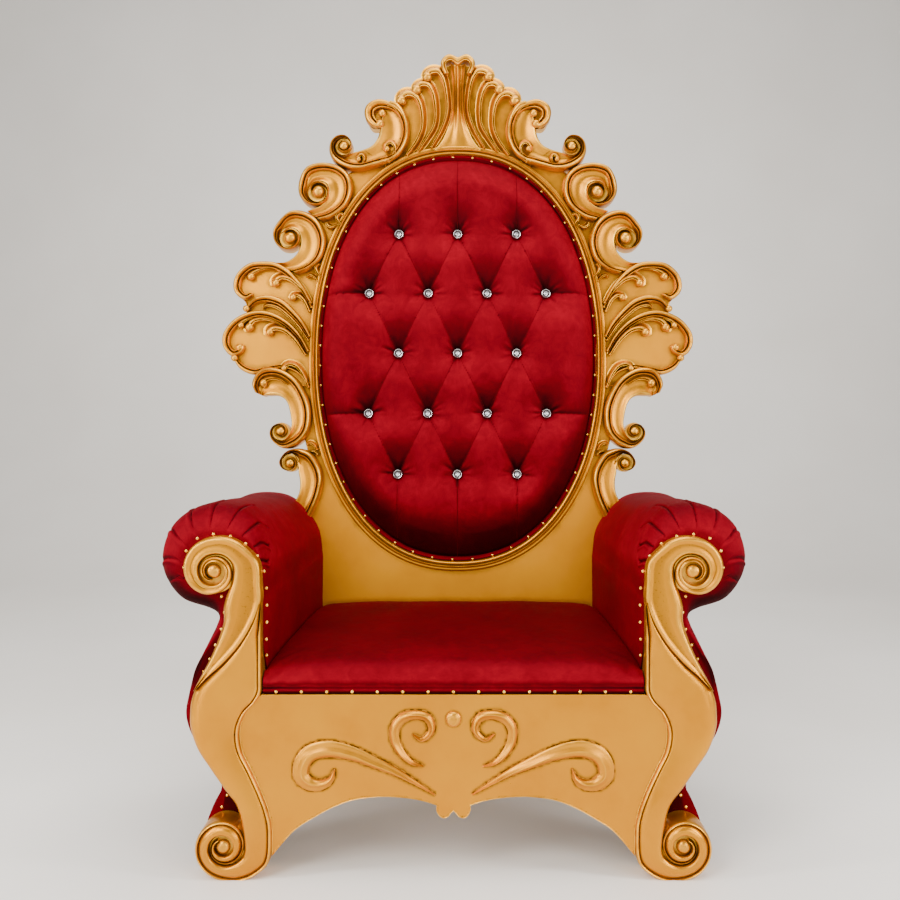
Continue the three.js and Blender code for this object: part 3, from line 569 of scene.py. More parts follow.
def mottled(name, scales, stops, rough, spread=0.0, tint_by=1, rough_by=1, bump=None, **sockets):
    """A material whose colour and roughness follow its mottling, at the size each is given."""
    if name in bpy.data.materials:
        return bpy.data.materials[name]
    material, tree, shader = fresh_material(name)
    sizes = mottling(tree, *scales)
    if spread:
        rough = summed(tree, rough, (sizes[rough_by], spread))
    dressed(tree, shader, Base_Color=ramp(tree, sizes[tint_by], stops), Roughness=rough, **sockets)
    if bump:
        dressed(tree, shader, Normal=bumped(tree, sizes[-1], *bump))
    return material


def tinted(colour, factors=(1, 1, 1)):
    """A colour scaled channel by channel, with its alpha."""
    return tuple(min(1.0, c * f) for c, f in zip(colour, factors)) + (1.0,)


def gold_paint():
    """Satin gold paint: mottled, with painted shade in brown in its hollows and a painted highlight,
    partly wear, along the ridges.
    """
    name = "satin_gold"
    if name in bpy.data.materials:
        return bpy.data.materials[name]
    colours = bpy.context.scene.throne_colours
    material, tree, shader = fresh_material(name)
    broad, middle, fine = mottling(tree, 9.0, 55.0, 900.0)
    openness, bend, _ = relief_of(tree)
    deep, pale = tinted(colours.gold, (0.93, 0.9, 0.8)), tinted(colours.gold, (1.04, 1.08, 1.3))
    brown = tinted(colours.groove)

    patch = ramp(tree, broad, [(0.36, deep), (0.5, tinted(colours.gold)), (0.66, pale)])
    colour = mixed(tree, ramp(tree, middle, [(0.35, 0.0), (0.7, 0.35)]), patch, pale)
    # Painted shade: brown mixed in where the ray-cast openness says the surface is sheltered.
    ragged = summed(tree, openness, (maths(tree, "SUBTRACT", middle, 0.5), 0.16))
    sheltered = ramp(tree, ragged, [(0.3, 1.0), (0.62, 0.5), (0.88, 0.0)])
    colour = mixed(tree, sheltered, colour, brown)
    # Painted shade: brown in the concave creases as well.
    hollow = ramp(tree, bend, [(0.14, 1.0), (0.43, 0.0)])
    colour = mixed(tree, product(tree, hollow, 0.85), colour, brown)
    # Painted highlight, partly wear: convex edges mixed toward the bright ridge colour, unevenly along
    # the mottling.
    edge = ramp(tree, bend, [(0.6, 0.0), (0.86, 1.0)])
    edge_highlight_wear = ramp(tree, middle, [(0.3, 0.35), (0.6, 0.9)])
    colour = mixed(tree, product(tree, edge, edge_highlight_wear), colour, tinted(colours.ridge_highlight))
    specks = ramp(tree, clouds(tree, in_Scale=210.0, in_Detail=1.0), [(0.62, 0.0), (0.68, 1.0)])
    colour = mixed(tree, product(tree, hollow, specks), colour, (0.02, 0.006, 0.001, 1))
    height = summed(tree, product(tree, fine, 0.25), (middle, 0.75))
    dressed(tree, shader, Base_Color=colour, Metallic=0.85, Specular_IOR_Level=0.25,
            Roughness=summed(tree, 0.24, (middle, 0.18)), Normal=bumped(tree, height, 0.16, 0.0012))
    return material


def velvet():
    """Short-pile velvet: brushed patches, painted shade in the folds, hollows and down-facing slopes, a
    painted red sheen at its edges.
    """
    name = "short_velvet"
    if name in bpy.data.materials:
        return bpy.data.materials[name]
    colours = bpy.context.scene.throne_colours
    material, tree, shader = fresh_material(name)
    broad, middle, fine = mottling(tree, 9.0, 60.0, 1500.0)
    openness, bend, turned_up = relief_of(tree)
    deep, base, pale, shade = (tinted(colours.velvet, [f] * 3) for f in (0.72, 0.9, 1.12, 0.04))

    wisps = clouds(tree, in_Scale=26.0, in_Detail=4.0, in_Roughness=0.6, in_Distortion=1.6)
    nap = summed(tree, product(tree, broad, 0.4), (middle, 0.2), (wisps, 0.4))
    patch = ramp(tree, nap, [(0.38, deep), (0.5, base), (0.62, pale)])
    # Painted shade: sheltered places and concave creases are mixed toward the dark copy of the velvet.
    sheltered = ramp(tree, openness, [(0.3, 0.95), (0.7, 0.4), (0.95, 0.0)])
    crease = ramp(tree, bend, [(0.15, 0.9), (0.45, 0.0)])
    colour = mixed(tree, maths(tree, "MAXIMUM", sheltered, crease), patch, shade)
    # Painted highlight: convex edges mixed toward the pale velvet, a painted sheen.
    colour = mixed(tree, ramp(tree, bend, [(0.55, 0.0), (0.85, 0.5)]), colour, pale)
    # Painted light, partly the lay of the pile: slopes facing down are darkened as if shaded from a
    # light above, upward slopes kept brightest.
    painted_light_and_lay = ramp(tree, turned_up, [(0.2, 0.08), (0.34, 0.2), (0.44, 0.46), (0.5, 0.7), (0.55, 0.86),
                                 (0.6, 0.98), (0.8, 0.85), (1.0, 0.5)])
    pile = summed(tree, product(tree, fine, 0.35), (middle, 0.65))
    dressed(tree, shader, Base_Color=mixed(tree, 1.0, colour, painted_light_and_lay, "MULTIPLY"), Metallic=0.0,
            Sheen_Weight=0.06, Sheen_Roughness=0.35, Sheen_Tint=(0.9, 0.02, 0.035, 1.0),
            Specular_IOR_Level=0.03, Roughness=summed(tree, 0.6, (middle, 0.2)),
            Normal=bumped(tree, pile, 0.3, 0.0015))
    return material


# ---- settings -------------------------------------------------------------------------------------
def length(name, description, default):
    return bpy.props.FloatProperty(name=name, description=description, default=default, unit="LENGTH")


def colour(name, description, default):
    return bpy.props.FloatVectorProperty(name=name, description=description, subtype="COLOR",
                                         default=default, min=0, max=1)


class ThroneSizes(bpy.types.PropertyGroup):
    nail_radius: length("Nail radius", "Half the width of an upholstery nail's head", 0.0034)
    button_radius: length("Button radius", "Half the width of a stone button", 0.0125)


class ThroneColours(bpy.types.PropertyGroup):
    gold: colour("Gold", "Satin gold paint on the flats", (0.63, 0.25, 0.0025))
    # ridge_highlight: colour of the painted highlight, partly wear, along the raised lines of the gold.
    ridge_highlight: colour("Ridge", "Paint worn bright along the raised lines", (0.92, 0.52, 0.06))
    # groove: colour of the painted shade laid brown into the gold's sheltered hollows and creases.
    groove: colour("Groove", "Brown glaze that stays in the hollows", (0.13, 0.05, 0.002))
    velvet: colour("Velvet", "Pile of the velvet seen straight on", (0.2, 0.0004, 0.008))


class ThronePiece:
    """What every operator here shares."""
    bl_options = {"REGISTER", "UNDO"}

    def execute(self, context):
        self.build()
        return {"FINISHED"}


# ---- the carved back ------------------------------------------------------------------------------
def scroll_profile(width):
    """Rim bead, groove, fine line and dished hollow."""
    unit = min(1.0, width / 34.0)
    marks = [(0.0, 6), (0.0, 13), (0.9, 19), (2.6, 24.5), (5.0, 28.5), (7.6, RIM), (10.2, 28.6),
             (12.4, 25), (14.0, 20), (15.0, 16.5), (16.0, 18.5), (17.2, 22.5), (18.4, 23.4),
             (19.6, 22.3), (20.8, 17.5), (21.6, 14.0)]
    marks = [(x * unit, level) for x, level in marks]
    start, end = marks[-1][0], width
    left = max(end - start, 1.0)
    for t in (0.15, 0.3, 0.45, 0.6, 0.72, 0.83, 0.91):
        dish = 14.5 - 5.5 * math.sin(math.pi * min(1.0, t * 1.15)) + 3.5 * t**2
        marks.append((start + left * t, dish))
    marks += [(start + left * 0.965, 14.5), (start + left * 0.99, 10.0), (end, 4.0)]
    return [(x / width, level) for x, level in marks]


def wind(eye, rungs, ball, side, turns=1.05):
    """Rungs that carry a scroll's band round its eye, the rim closing in on the ball."""
    x0, y0, x1, y1 = rungs[-1]
    start = Vector((x0 - eye[0], y0 - eye[1]))
    inner = math.dist((x1, y1), eye)
    shares = [(0.0, 1.0), (0.25, 0.72), (0.5, 0.53), (0.75, 0.43), (1.0, 0.37), (1.3, 0.33)]
    radii = [(turn, start.length * share) for turn, share in shares]
    first = math.atan2(start.y, start.x)
    made = []
    for i in range(1, 11):
        turn = turns * i / 10
        radius = np.interp(turn, *zip(*radii))
        hold = min(1.0, turn / 0.45)
        close = inner + (max(ball - 1.5, radius - 11) - inner) * hold
        angle = first + side * 2 * math.pi * turn
        cos, sin = math.cos(angle), math.sin(angle)
        made.append((eye[0] + radius * cos, eye[1] + radius * sin,
                     eye[0] + close * cos, eye[1] + close * sin))
    return made


RIM_PROFILE = [(-1.0, -0.2), (-1.0, 0.3), (-0.93, 0.58), (-0.8, 0.82), (-0.6, 0.96), (-0.36, 1.0),
               (-0.12, 0.93), (0.1, 0.74), (0.24, 0.52), (0.34, 0.42), (0.43, 0.56), (0.54, 0.74),
               (0.65, 0.78), (0.76, 0.7), (0.88, 0.36), (1.0, 0.0)]
RIB_PROFILE = [(-1.9, 0.0), (-1.4, 0.06), (-1.05, 0.22), (-0.75, 0.52), (-0.45, 0.78), (-0.1, 0.92),
               (0.2, 0.88), (0.36, 0.74), (0.45, 0.66), (0.54, 0.8), (0.65, 0.98), (0.76, 1.0),
               (0.87, 0.84), (0.95, 0.45), (1.0, 0.0)]


class THRONE_OT_back_frame(ThronePiece, bpy.types.Operator):
    """Carved back: board, moulding, scrolls, leaf wings, ribbed crest and its cap"""
    bl_idname = "throne.back_frame"
    bl_label = "Back frame"

    def build(self):
        half = bmesh.new()
        for layer, scroll in enumerate(SCROLLS.values()):
            rungs = list(scroll["rungs"])
            if scroll["eye"]:
                rungs += wind(scroll["eye"], rungs, scroll["ball"], scroll["side"])
                x, y = scroll["eye"]
                ball, floor = scroll["ball"], scroll["floor"]
                low = BACK_STEP * (2 + layer) - BOARD
                turned(half, x, y, [(0, low), (floor, low), (floor, FLOOR - 1), (ball, FLOOR - 2),
                                    (0, FLOOR - 2)], 32)
                knob(half, x, y, ball, EYE - ball)
            band(half, rungs, round(path_length(rungs) / 4.5) + 10, scroll_profile,
                 BACK_STEP * (1 + layer) - BOARD)
        plate(half, smooth_path(WING_GROUND + WING_GROUND[:1], 90)[:-1], BACK_STEP - BOARD, LEAF, 2.5)
        crest = smooth_path(CREST_GROUND, 80)
        crest += [oval_point(math.radians(angle), 8) for angle in np.linspace(64, 90, 12)]
        plate(half, [(max(x, CREST_GAP), y) for x, y in crest], BACK_STEP / 2 - BOARD, LEAF, 2.5)
        for points in RIMS.values():
            rib(half, points, LEAF, 27.0, RIM_PROFILE, sink=14)
        rib(half, LIP, LEAF, 25.0, RIM_PROFILE, side=-1, sink=14)
        for points in RIBS.values():
            rib(half, points, LEAF, 25.0, RIB_PROFILE)
        for x, y, radius in KNOBS:
            knob(half, x, y, radius, LEAF + 20 - radius * 0.9, 0.95)
        mirrored(half)

        self.board(half)
        band(half, [(-x, y, x, y) for x, y in FLUTE], 44, self.flute, 3 * BACK_STEP - BOARD)
        band(half, CAP, 48, self.cap, BACK_STEP / 4 - BOARD)
        self.ring(half)
        piece = finished(half, "carved_back", back_place(), gold_paint(),
                         ["back_frame"], 50)
        measure_relief(piece)

    @staticmethod
    def board(mesh):
        """The flat board, as a ring of sections from the edge of the oval out to its outline."""
        side = smooth_path(BOARD_EDGE[:-1], 130)
        wall, foot = BOARD_EDGE[-2], BOARD_EDGE[-1]
        side += [(foot[0], y) for y in np.linspace(wall[1], foot[1], 24)[1:]]
        side += [(x, foot[1]) for x in np.linspace(foot[0], 0, 36)[1:]]
        outline = side + [(-x, y) for x, y in reversed(side[1:-1])]
        shares = (0, 0.02, 0.05, 0.09, 0.14, 0.2, 0.28, 0.37, 0.47, 0.58, 0.7, 0.82, 0.93)
        sections = []
        for x, y in outline + outline[:1]:
            reach = math.hypot(x, y)
            inner = 1 / oval_share(x / reach, y / reach) + 1.0
            run = [inner + (reach - inner) * share for share in shares] + [reach - 2.0]
            face = [(r, 0.0) for r in run] + [(reach, -1.4), (reach, 1 - BOARD), (reach - 1, -BOARD),
                                              (reach - 4, -BOARD), (inner + 4, -BOARD), (inner, -BOARD)]
            sections.append([(x / reach * r, y / reach * r, level) for r, level in face])
        skin(mesh, sections, ends=False)

    @staticmethod
    def flute(width):
        count = 26
        swell = min(1.0, 27.0 / width) ** 1.5
        return [(i / count, 13.5 + (4.5 * math.cos(4 * math.pi * i / count) + 1.5) * swell
                 + 3.0 * abs(2 * i / count - 1) ** 6) for i in range(count + 1)]

    @staticmethod
    def cap(width):
        return [(0, 8), (0, 20), (0.06, 26), (0.2, 30.5), (0.4, EYE), (0.58, 31), (0.7, 28.5),
                (0.78, 27.5), (0.86, 29.5), (0.93, 29.8), (0.98, 27.5), (1.0, 23), (1.0, 10)]

    @staticmethod
    def ring(mesh):
        profile = [(0, 14), (0.6, 18.5), (2.2, 21.8), (4.6, 22.6), (6.8, 20.6), (8.4, 16.2),
                   (9.4, 16.2), (10.8, 20.6), (12.6, 22.4), (14.4, 20.4), (15.6, 15.2),
                   (16.4, 13.6), (19.0, 14.8), (23.0, 14.6), (25.2, 12.4), (RING, 6.0)]
        profile = [(0, 4 - BOARD), *profile, (RING, 4 - BOARD)]
        rings = [[(*point, level) for point in oval_ring(offset, 240)] for offset, level in profile]
        skin(mesh, list(zip(*rings)), ends=False)


# ---- velvet back ----------------------------------------------------------------------------------
TUFT_ACROSS, TUFT_UP, TUFT_MIDDLE = 77.0, 157.0, 4.0
TUFT_ROWS = (3, 4, 3, 4, 3)
PAD_CROWN, PAD_EDGE = 47.0, 8.0
BUTTON_SEAT = 22.0            # foot of the buttons above the board's face
CREASE_END = 345.0            # how far across the outer folds of the long rows run


def tuft_points():
    points = []
    for row, count in enumerate(TUFT_ROWS):
        y = TUFT_MIDDLE + TUFT_UP * ((len(TUFT_ROWS) - 1) / 2 - row)
        points.append([(TUFT_ACROSS * (2 * i - count + 1), y) for i in range(count)])
    return points


def all_tufts():
    return [point for row in tuft_points() for point in row]


def tuft_creases():
    """Segments (x0, y0, x1, y1, fade): folds between neighbouring buttons and out to the moulding."""
    rows = tuft_points()
    creases = []
    for upper, lower in zip(rows, rows[1:]):
        for a in upper:
            for b in lower:
                if abs(a[0] - b[0]) < 1.1 * TUFT_ACROSS:
                    creases.append((*a, *b, 0))
    for x, y in rows[0] + rows[-1]:
        rim = OVAL_HIGH * (1 - abs(x / OVAL_WIDE) ** OVAL_POWER) ** (1 / OVAL_POWER) - 9
        creases.append((x, y, x, math.copysign(rim, y), 1))
    for row in (rows[1], rows[3]):
        for x, y in (row[0], row[-1]):
            creases.append((x, y, math.copysign(CREASE_END, x), y - 4, 1))
    return creases


def pad_face(x, y):
    """Level of the tufted face at arrays of places, in millimetres above the board's face."""
    inward = np.clip((1 - oval_share(x, y)) * OVAL_WIDE, 0, None)
    rise = np.clip((inward - 7.5) / (62 + 46 * np.clip((-y - 200) / 300, 0, 1)), 0, 1)
    level = PAD_EDGE + (PAD_CROWN - PAD_EDGE) * (1 - (1 - rise) ** 2.6)
    level -= 3.5 * np.exp(-((inward - 8.5) / 1.8) ** 2)
    full = np.clip(rise * 2.5, 0, 1)
    nearest = np.full(x.shape, 1e3)
    fold = np.zeros(x.shape)
    for x0, y0, x1, y1, edge in tuft_creases():
        along = np.array((x1 - x0, y1 - y0))
        length = np.hypot(*along)
        t = np.clip(((x - x0) * along[0] + (y - y0) * along[1]) / length**2, 0, 1)
        away = np.hypot(x - x0 - t * along[0], y - y0 - t * along[1])
        nearest = np.minimum(nearest, away)
        end = t if edge else np.minimum(t, 1 - t)
        deep = (1.6 if edge else 1.0) + 7.0 * np.exp(-end * length / 34)
        wide = 4.6 + 5.0 * np.exp(-end * length / 24)
        fold = np.maximum(fold, deep * np.exp(-away / wide))
    level += 4.0 * (1 - np.exp(-((nearest / 34) ** 1.3))) * full - fold * full
    for k, (u, v) in enumerate(all_tufts()):
        dx, dy = x - u, y - v
        above = np.where(dy > 0, dy / 1.5, dy * 1.3)
        funnel = np.hypot(dx, above)
        level -= 29.0 * np.exp(-((funnel / 39) ** 1.2)) * full
        away, angle = np.hypot(dx, dy), np.arctan2(dy, dx)
        level -= 6.0 * np.exp(-((away / 12) ** 2))
        for folds, size, turn in ((6, 1.6, 1.7), (9, 1.1, 2.9), (14, 0.7, 0.6)):
            spoke = np.abs(np.cos(folds / 2 * angle + turn * k)) ** 0.6 - 0.7
            level += size * spoke * np.exp(-(((away - 22) / 17) ** 2)) * 1.5
    rough = [noise.noise(Vector((u / 60, v / 60, 3.1))) * 1.2 for u, v in zip(x, y)]
    return np.maximum(level, 3.0) + np.array(rough)


def oval_sheet(mesh, columns, rows, offset):
    """A grid of quads fitted to the oval; gives its vertices with their places in the drawing."""
    made = bmesh.ops.create_grid(mesh, x_segments=columns, y_segments=rows, size=1.0)["verts"]
    u = np.array([vert.co.x for vert in made])
    v = np.array([vert.co.y for vert in made])
    a, b = u * np.sqrt(1 - v * v / 2), v * np.sqrt(1 - u * u / 2)
    radius, angle = np.hypot(a, b), np.arctan2(b, a)
    rims = np.array([oval_point(t, offset) for t in angle])
    radius = np.clip(radius, 0, 1)[:, None]
    flat = np.stack([a * (OVAL_WIDE + offset), b * (OVAL_HIGH + offset)], 1)
    return made, flat * (1 - radius**3) + rims * radius * radius**3


class THRONE_OT_back_pad(ThronePiece, bpy.types.Operator):
    """Deep-buttoned velvet pad in the oval"""
    bl_idname = "throne.back_pad"
    bl_label = "Back pad"

    def build(self):
        mesh = bmesh.new()
        made, places = oval_sheet(mesh, 224, 330, -0.6)
        levels = pad_face(places[:, 0], places[:, 1])
        for vert, (x, y), level in zip(made, places, levels):
            vert.co = (x, y, level)
        closed_behind(mesh, 0.4 - BOARD)
        self.crease_shadows(mesh)
        piece = finished(mesh, "buttoned_pad", back_place(), velvet(), ["back_pad"], 75)
        piece.data.materials.append(self.crease_shadow_cloth())
        measure_relief(piece, 60.0, True)

    @staticmethod
    def crease_shadows(mesh):
        """Narrow dark strips that run from button to button, laid in the bottom of the creases: painted
        shadow of the folds.
        """
        plain = len(mesh.faces)
        for x0, y0, x1, y1, edge in tuft_creases():
            shares = np.linspace(0.03, 0.985 if edge else 0.97, 40)
            xs, ys = x0 + (x1 - x0) * shares, y0 + (y1 - y0) * shares
            length = math.hypot(x1 - x0, y1 - y0)
            across = Vector((y0 - y1, x1 - x0)) / length
            sway = 1.6 * np.sin(shares * math.pi) * math.sin(x0 + 2 * y0)
            xs, ys = xs + across.x * sway, ys + across.y * sway
            sections = []
            for x, y, level, share in zip(xs, ys, pad_face(xs, ys), shares):
                half = 0.5 + 0.7 * math.exp(-9 * (share if edge else min(share, 1 - share)))
                dx, dy = across.x * half, across.y * half
                sections.append([(x - dx, y - dy, level), (x, y, level + 0.5), (x + dx, y + dy, level),
                                 (x, y, level - 2.5)])
            skin(mesh, sections)
        use_finish(mesh, 1, plain)

    @staticmethod
    def crease_shadow_cloth():
        # Painted shadow: near-black velvet for the strips in the creases.
        return mottled("fold_velvet", (9.0, 60.0, 1500.0),
                       [(0.35, (0.06, 0.0001, 0.0012, 1)), (0.65, (0.1, 0.0002, 0.002, 1))],
                       0.7, 0.2, Specular_IOR_Level=0.05)


class THRONE_OT_buttons(ThronePiece, bpy.types.Operator):
    """Cut stones in silver rings, one at each tuft"""
    bl_idname = "throne.buttons"
    bl_label = "Buttons"

    def build(self):
        radius = bpy.context.scene.throne_sizes.button_radius / MM
        # dark: painted shade on the cup inside each ring, for the shaded gap round the stone.
        silver, stone, dark = self.silver(), self.stone(), self.gap_shade_paint()
        ring = [(0, -6), (0.8, -6), (0.96, 1.4), (1, 3.6), (0.95, 5.6), (0.86, 6.8), (0.78, 6.5),
                (0.72, 5.0), (0.7, 2.0), (0, 2.0)]
        cup = [(0, 1.0), (0.71, 1.0), (0.71, 2.4), (0, 2.4)]
        cut = [(0, 1.8), (0.44, 1.8), (0.46, 4.0), (0.24, 6.8), (0, 7.0)]
        for i, (x, y) in enumerate(all_tufts()):
            mesh = bmesh.new()
            starts = []
            for profile, sides in ((ring, 24), (cup, 24), (cut, 8)):
                starts.append(len(mesh.faces))
                turned(mesh, x, y, [(radius * r, z + BUTTON_SEAT) for r, z in profile], sides)
            use_finish(mesh, 1, starts[2])
            use_finish(mesh, 2, starts[1], starts[2])
            name = "button_%02d" % (i + 1)
            piece = finished(mesh, "stone_" + name, back_place(), silver, [name], 25)
            piece.data.materials.append(stone)
            piece.data.materials.append(dark)

    @staticmethod
    def silver():
        return mottled("silver_ring", (30.0, 240.0, 1500.0),
                       [(0.35, (0.5, 0.5, 0.51, 1)), (0.65, (0.86, 0.86, 0.88, 1))],
                       0.12, 0.15, Metallic=1.0)

    @staticmethod
    # Painted shade: near-black finish of the cup between the ring and the stone.
    def gap_shade_paint():
        return mottled("dark_cup", (30.0, 240.0, 1500.0),
                       [(0.35, (0.02, 0.015, 0.015, 1)), (0.65, (0.05, 0.035, 0.035, 1))], 0.4)

    @staticmethod
    def stone():
        return mottled("cut_stone", (60.0, 300.0, 1500.0),
                       [(0.3, (0.3, 0.31, 0.34, 1)), (0.6, (0.85, 0.87, 0.9, 1))],
                       0.0, 0.12, Metallic=0.85, Coat_Weight=0.8)


class THRONE_OT_rear_cover(ThronePiece, bpy.types.Operator):
    """Velvet panel nailed over the rear of the oval"""
    bl_idname = "throne.rear_cover"
    bl_label = "Rear cover"

    def build(self):
        mesh = bmesh.new()
        made, places = oval_sheet(mesh, 60, 88, RING - 0.5)
        top = -BOARD - 0.6
        for vert, (x, y) in zip(made, places):
            reach = oval_share(x, y, RING)
            inward = max(0.0, 1 - reach) * (OVAL_WIDE + RING)
            swell = 5.5 * (1 - math.exp(-inward / 22)) + 3.0 * (1 - reach)
            swell -= 2.2 * math.exp(-((inward - 20) / 5) ** 2)
            pull = noise.noise(Vector((x / 70, y / 90, 9.0))) * 1.5 * min(1.0, inward / 40)
            vert.co = (x, y, top - 2.0 - swell - pull)
        closed_behind(mesh, top)
        piece = finished(mesh, "rear_panel", back_place(), velvet(), ["rear_cover"], 60)
        measure_relief(piece, 30.0)


# ---- front ----------------------------------------------------------------------------------------
# Rungs of the arm scroll from its volute down to the crease, and of the leg from there to the foot.
LEG_SCROLL = [(386, 592, 447, 598), (386, 557, 461, 552), (399, 520, 462, 518), (424, 477, 473, 482),
              (462, 434, 492, 438), (491, 409, 510, 404), (518, 382, 522, 380)]
LEG_CABRIOLE = [(386, 556, 388, 558), (386, 520, 402, 518), (386, 480, 428, 475), (386, 440, 466, 432),
                (386, 404, 496, 407), (387, 376, 517, 386), (398, 356, 527, 360), (418, 334, 530, 335),
                (431, 300, 529, 303), (427, 258, 515, 261), (409, 220, 491, 224), (389, 177, 461, 181),
                (373, 134, 436, 146), (366, 96, 423, 88)]
# Coils as (degrees turned, radius of the rim, radius of the hollow), wound about an eye.
VOLUTE_BALL = 15.0            # radius of the ball in the eye of a front volute
ARM_COIL = dict(eye=(482, 620), turn=-1, disc=(484, 629, 55), back=-25,
                radii=[(620, 19, 15), (540, 25, 16), (450, 30.5, 18), (360, 37, 22),
                       (270, 46, 27), (180, 60, 29), (90, 69, 32), (35, 81, 37), (12, 93, 38)])
FOOT_COIL = dict(eye=(463, 66), turn=1, disc=(467, 65, 51), back=-64,
                 radii=[(20, 97, 43), (50, 84, 40), (90, 69, 36), (135, 62, 31), (180, 57, 27),
                        (225, 53, 24), (270, 51, 22), (315, 47, 21), (360, 43, 20), (450, 35, 17),
                        (540, 25, 16), (600, 20, 15)])
LEG_SMOOTH = 50               # edges of the front legs sharper than this stay sharp, in degrees
RAIL_TOP = 370.0
RAIL_EDGE = [(385.6, 370), (395.5, 364), (417.5, 341), (430.5, 300), (426.5, 258), (408.5, 220),
             (388.5, 177), (372.5, 134), (365.5, 96)]
RAIL_ARCH = [(366, 45), (320, 97), (285, 120), (247, 141), (205, 157), (165, 163), (130, 164),
             (92, 161), (59, 155), (34, 147)]
RAIL_LIP = [(34, 147), (34.5, 137), (29, 126), (20, 121), (11, 124), (5, 131), (0, 136)]
RAIL_LONG = [(37, 169, 2), (80, 195, 9), (118, 216, 16), (157, 233, 22), (195, 249, 27), (234, 259, 32),
             (265, 260, 34), (293, 249, 34), (307, 226, 33), (306, 205, 31), (288, 190, 27),
             (265, 189, 21), (247, 200, 13), (239, 221, 2)]
RAIL_SHORT = [(59, 226, 2), (82, 233, 9), (103, 251, 15), (117, 277, 19), (118, 303, 20),
              (103, 323, 20), (77, 330, 19), (54, 325, 18), (44, 308, 16), (47, 293, 13),
              (64, 280, 9), (83, 291, 2)]
ROUND_PROFILE = [(-1.0, 0.0), (-0.93, 0.34), (-0.78, 0.64), (-0.55, 0.87), (-0.25, 0.98), (0.0, 1.0),
                 (0.25, 0.98), (0.55, 0.87), (0.78, 0.64), (0.93, 0.34), (1.0, 0.0)]
RAIL_PROFILE = [(-1.0, -0.2), (-0.97, 0.15), (-0.8, 0.5), (-0.5, 0.82), (-0.26, 0.98), (-0.14, 1.0),
                (-0.02, 0.9), (0.25, 0.62), (0.6, 0.42), (0.88, 0.28), (0.97, 0.12), (1.0, -0.2)]


class THRONE_OT_front_legs(ThronePiece, bpy.types.Operator):
    """Carved arm scroll, cabriole leg and scrolled foot, one piece a side"""
    bl_idname = "throne.front_legs"
    bl_label = "Front legs"

    def build(self):
        for name, side in (("leg_right", 1), ("leg_left", -1)):
            mesh = bmesh.new()
            band(mesh, self.rungs(ARM_COIL) + LEG_SCROLL, 300, self.upper, ARM_COIL["back"])
            band(mesh, LEG_CABRIOLE + self.rungs(FOOT_COIL), 380, self.lower, FOOT_COIL["back"])
            for coil in (ARM_COIL, FOOT_COIL):
                self.boss(mesh, coil)
            if side < 0:
                turned_left(mesh)
            piece = finished(mesh, "carved_" + name, front_place(), gold_paint(),
                             [name], LEG_SMOOTH)
            self.level_foot(piece)
            measure_relief(piece)

    @staticmethod
    def rungs(coil):
        """Rungs of a volute, each from its rim to the hollow inside it."""
        (x, y), radii = coil["eye"], coil["radii"]
        turns, rims, hollows = zip(*sorted(radii))
        rungs = []
        for degrees in np.linspace(turns[0], turns[-1], round((turns[-1] - turns[0]) / 20) + 1):
            angle = math.radians(180 + coil["turn"] * degrees)
            cos, sin = math.cos(angle), math.sin(angle)
            rim, hollow = np.interp(degrees, turns, rims), np.interp(degrees, turns, hollows)
            rungs.append((x + rim * cos, y + rim * sin, x + hollow * cos, y + hollow * sin))
        return rungs if radii[0][0] < radii[-1][0] else rungs[::-1]

    @staticmethod
    def upper(width):
        bead = min(0.3, 8.0 / width)
        return [(0, -16), (0, -7.5), (bead * 0.15, -4.6), (bead * 0.45, -1.6), (bead * 0.8, -0.3),
                (bead, -0.5), (bead * 1.35, -2.2), (bead * 1.7, -3.8), (bead * 2.0, -4.6),
                (0.6 - bead * 0.1, -3.8), (0.68, -2.6), (0.78, -2.0), (0.86, -2.9), (0.92, -5.4),
                (0.97, -8.6), (1, -12), (1, -16)]

    @staticmethod
    def lower(width):
        bead = min(0.2, 7.0 / width)
        start = bead * 1.5
        rows = [(0, -40), (0, -16), (bead * 0.08, -11), (bead * 0.3, -7.0), (bead * 0.6, -5.6),
                (bead * 0.85, -6.6), (bead, -9.6), (bead * 1.15, -10.4), (start, -8.4)]
        for share in (0.06, 0.13, 0.2, 0.3, 0.4, 0.5, 0.6, 0.7, 0.78, 0.85, 0.91, 0.95, 0.98, 1.0):
            fall = 8.0 * max(0.0, 1 - share / 0.6) ** 2.2 + 10.0 * max(0.0, share / 0.6 - 1) ** 2
            rows.append((start + (1 - start) * share, -0.5 - fall - 9.0 * share**16))
        return [*rows, (1, -40)]

    @staticmethod
    def boss(mesh, coil):
        """The flat bed under a volute, and the ball in its eye."""
        (x, y, radius), back = coil["disc"], coil["back"]
        turned(mesh, x, y, [(0, back), (radius, back), (radius, -15), (radius - 2, -13), (0, -13)], 72)
        knob(mesh, *coil["eye"], VOLUTE_BALL, -1.0 - VOLUTE_BALL * 0.8, 0.8)

    @staticmethod
    def level_foot(piece):
        """Cuts the foot level at the floor and closes it."""
        mesh = bmesh.new()
        mesh.from_mesh(piece.data)
        cut = bmesh.ops.bisect_plane(mesh, geom=everything(mesh), dist=1e-6, plane_co=(0, 0, 2e-5),
                                     plane_no=(0, 0, -1), clear_outer=True)
        edges = [item for item in cut["geom_cut"] if isinstance(item, bmesh.types.BMEdge)]
        bmesh.ops.holes_fill(mesh, edges=edges, sides=0)
        mesh.to_mesh(piece.data)
        mesh.free()
        piece.data.set_sharp_from_angle(angle=math.radians(LEG_SMOOTH))


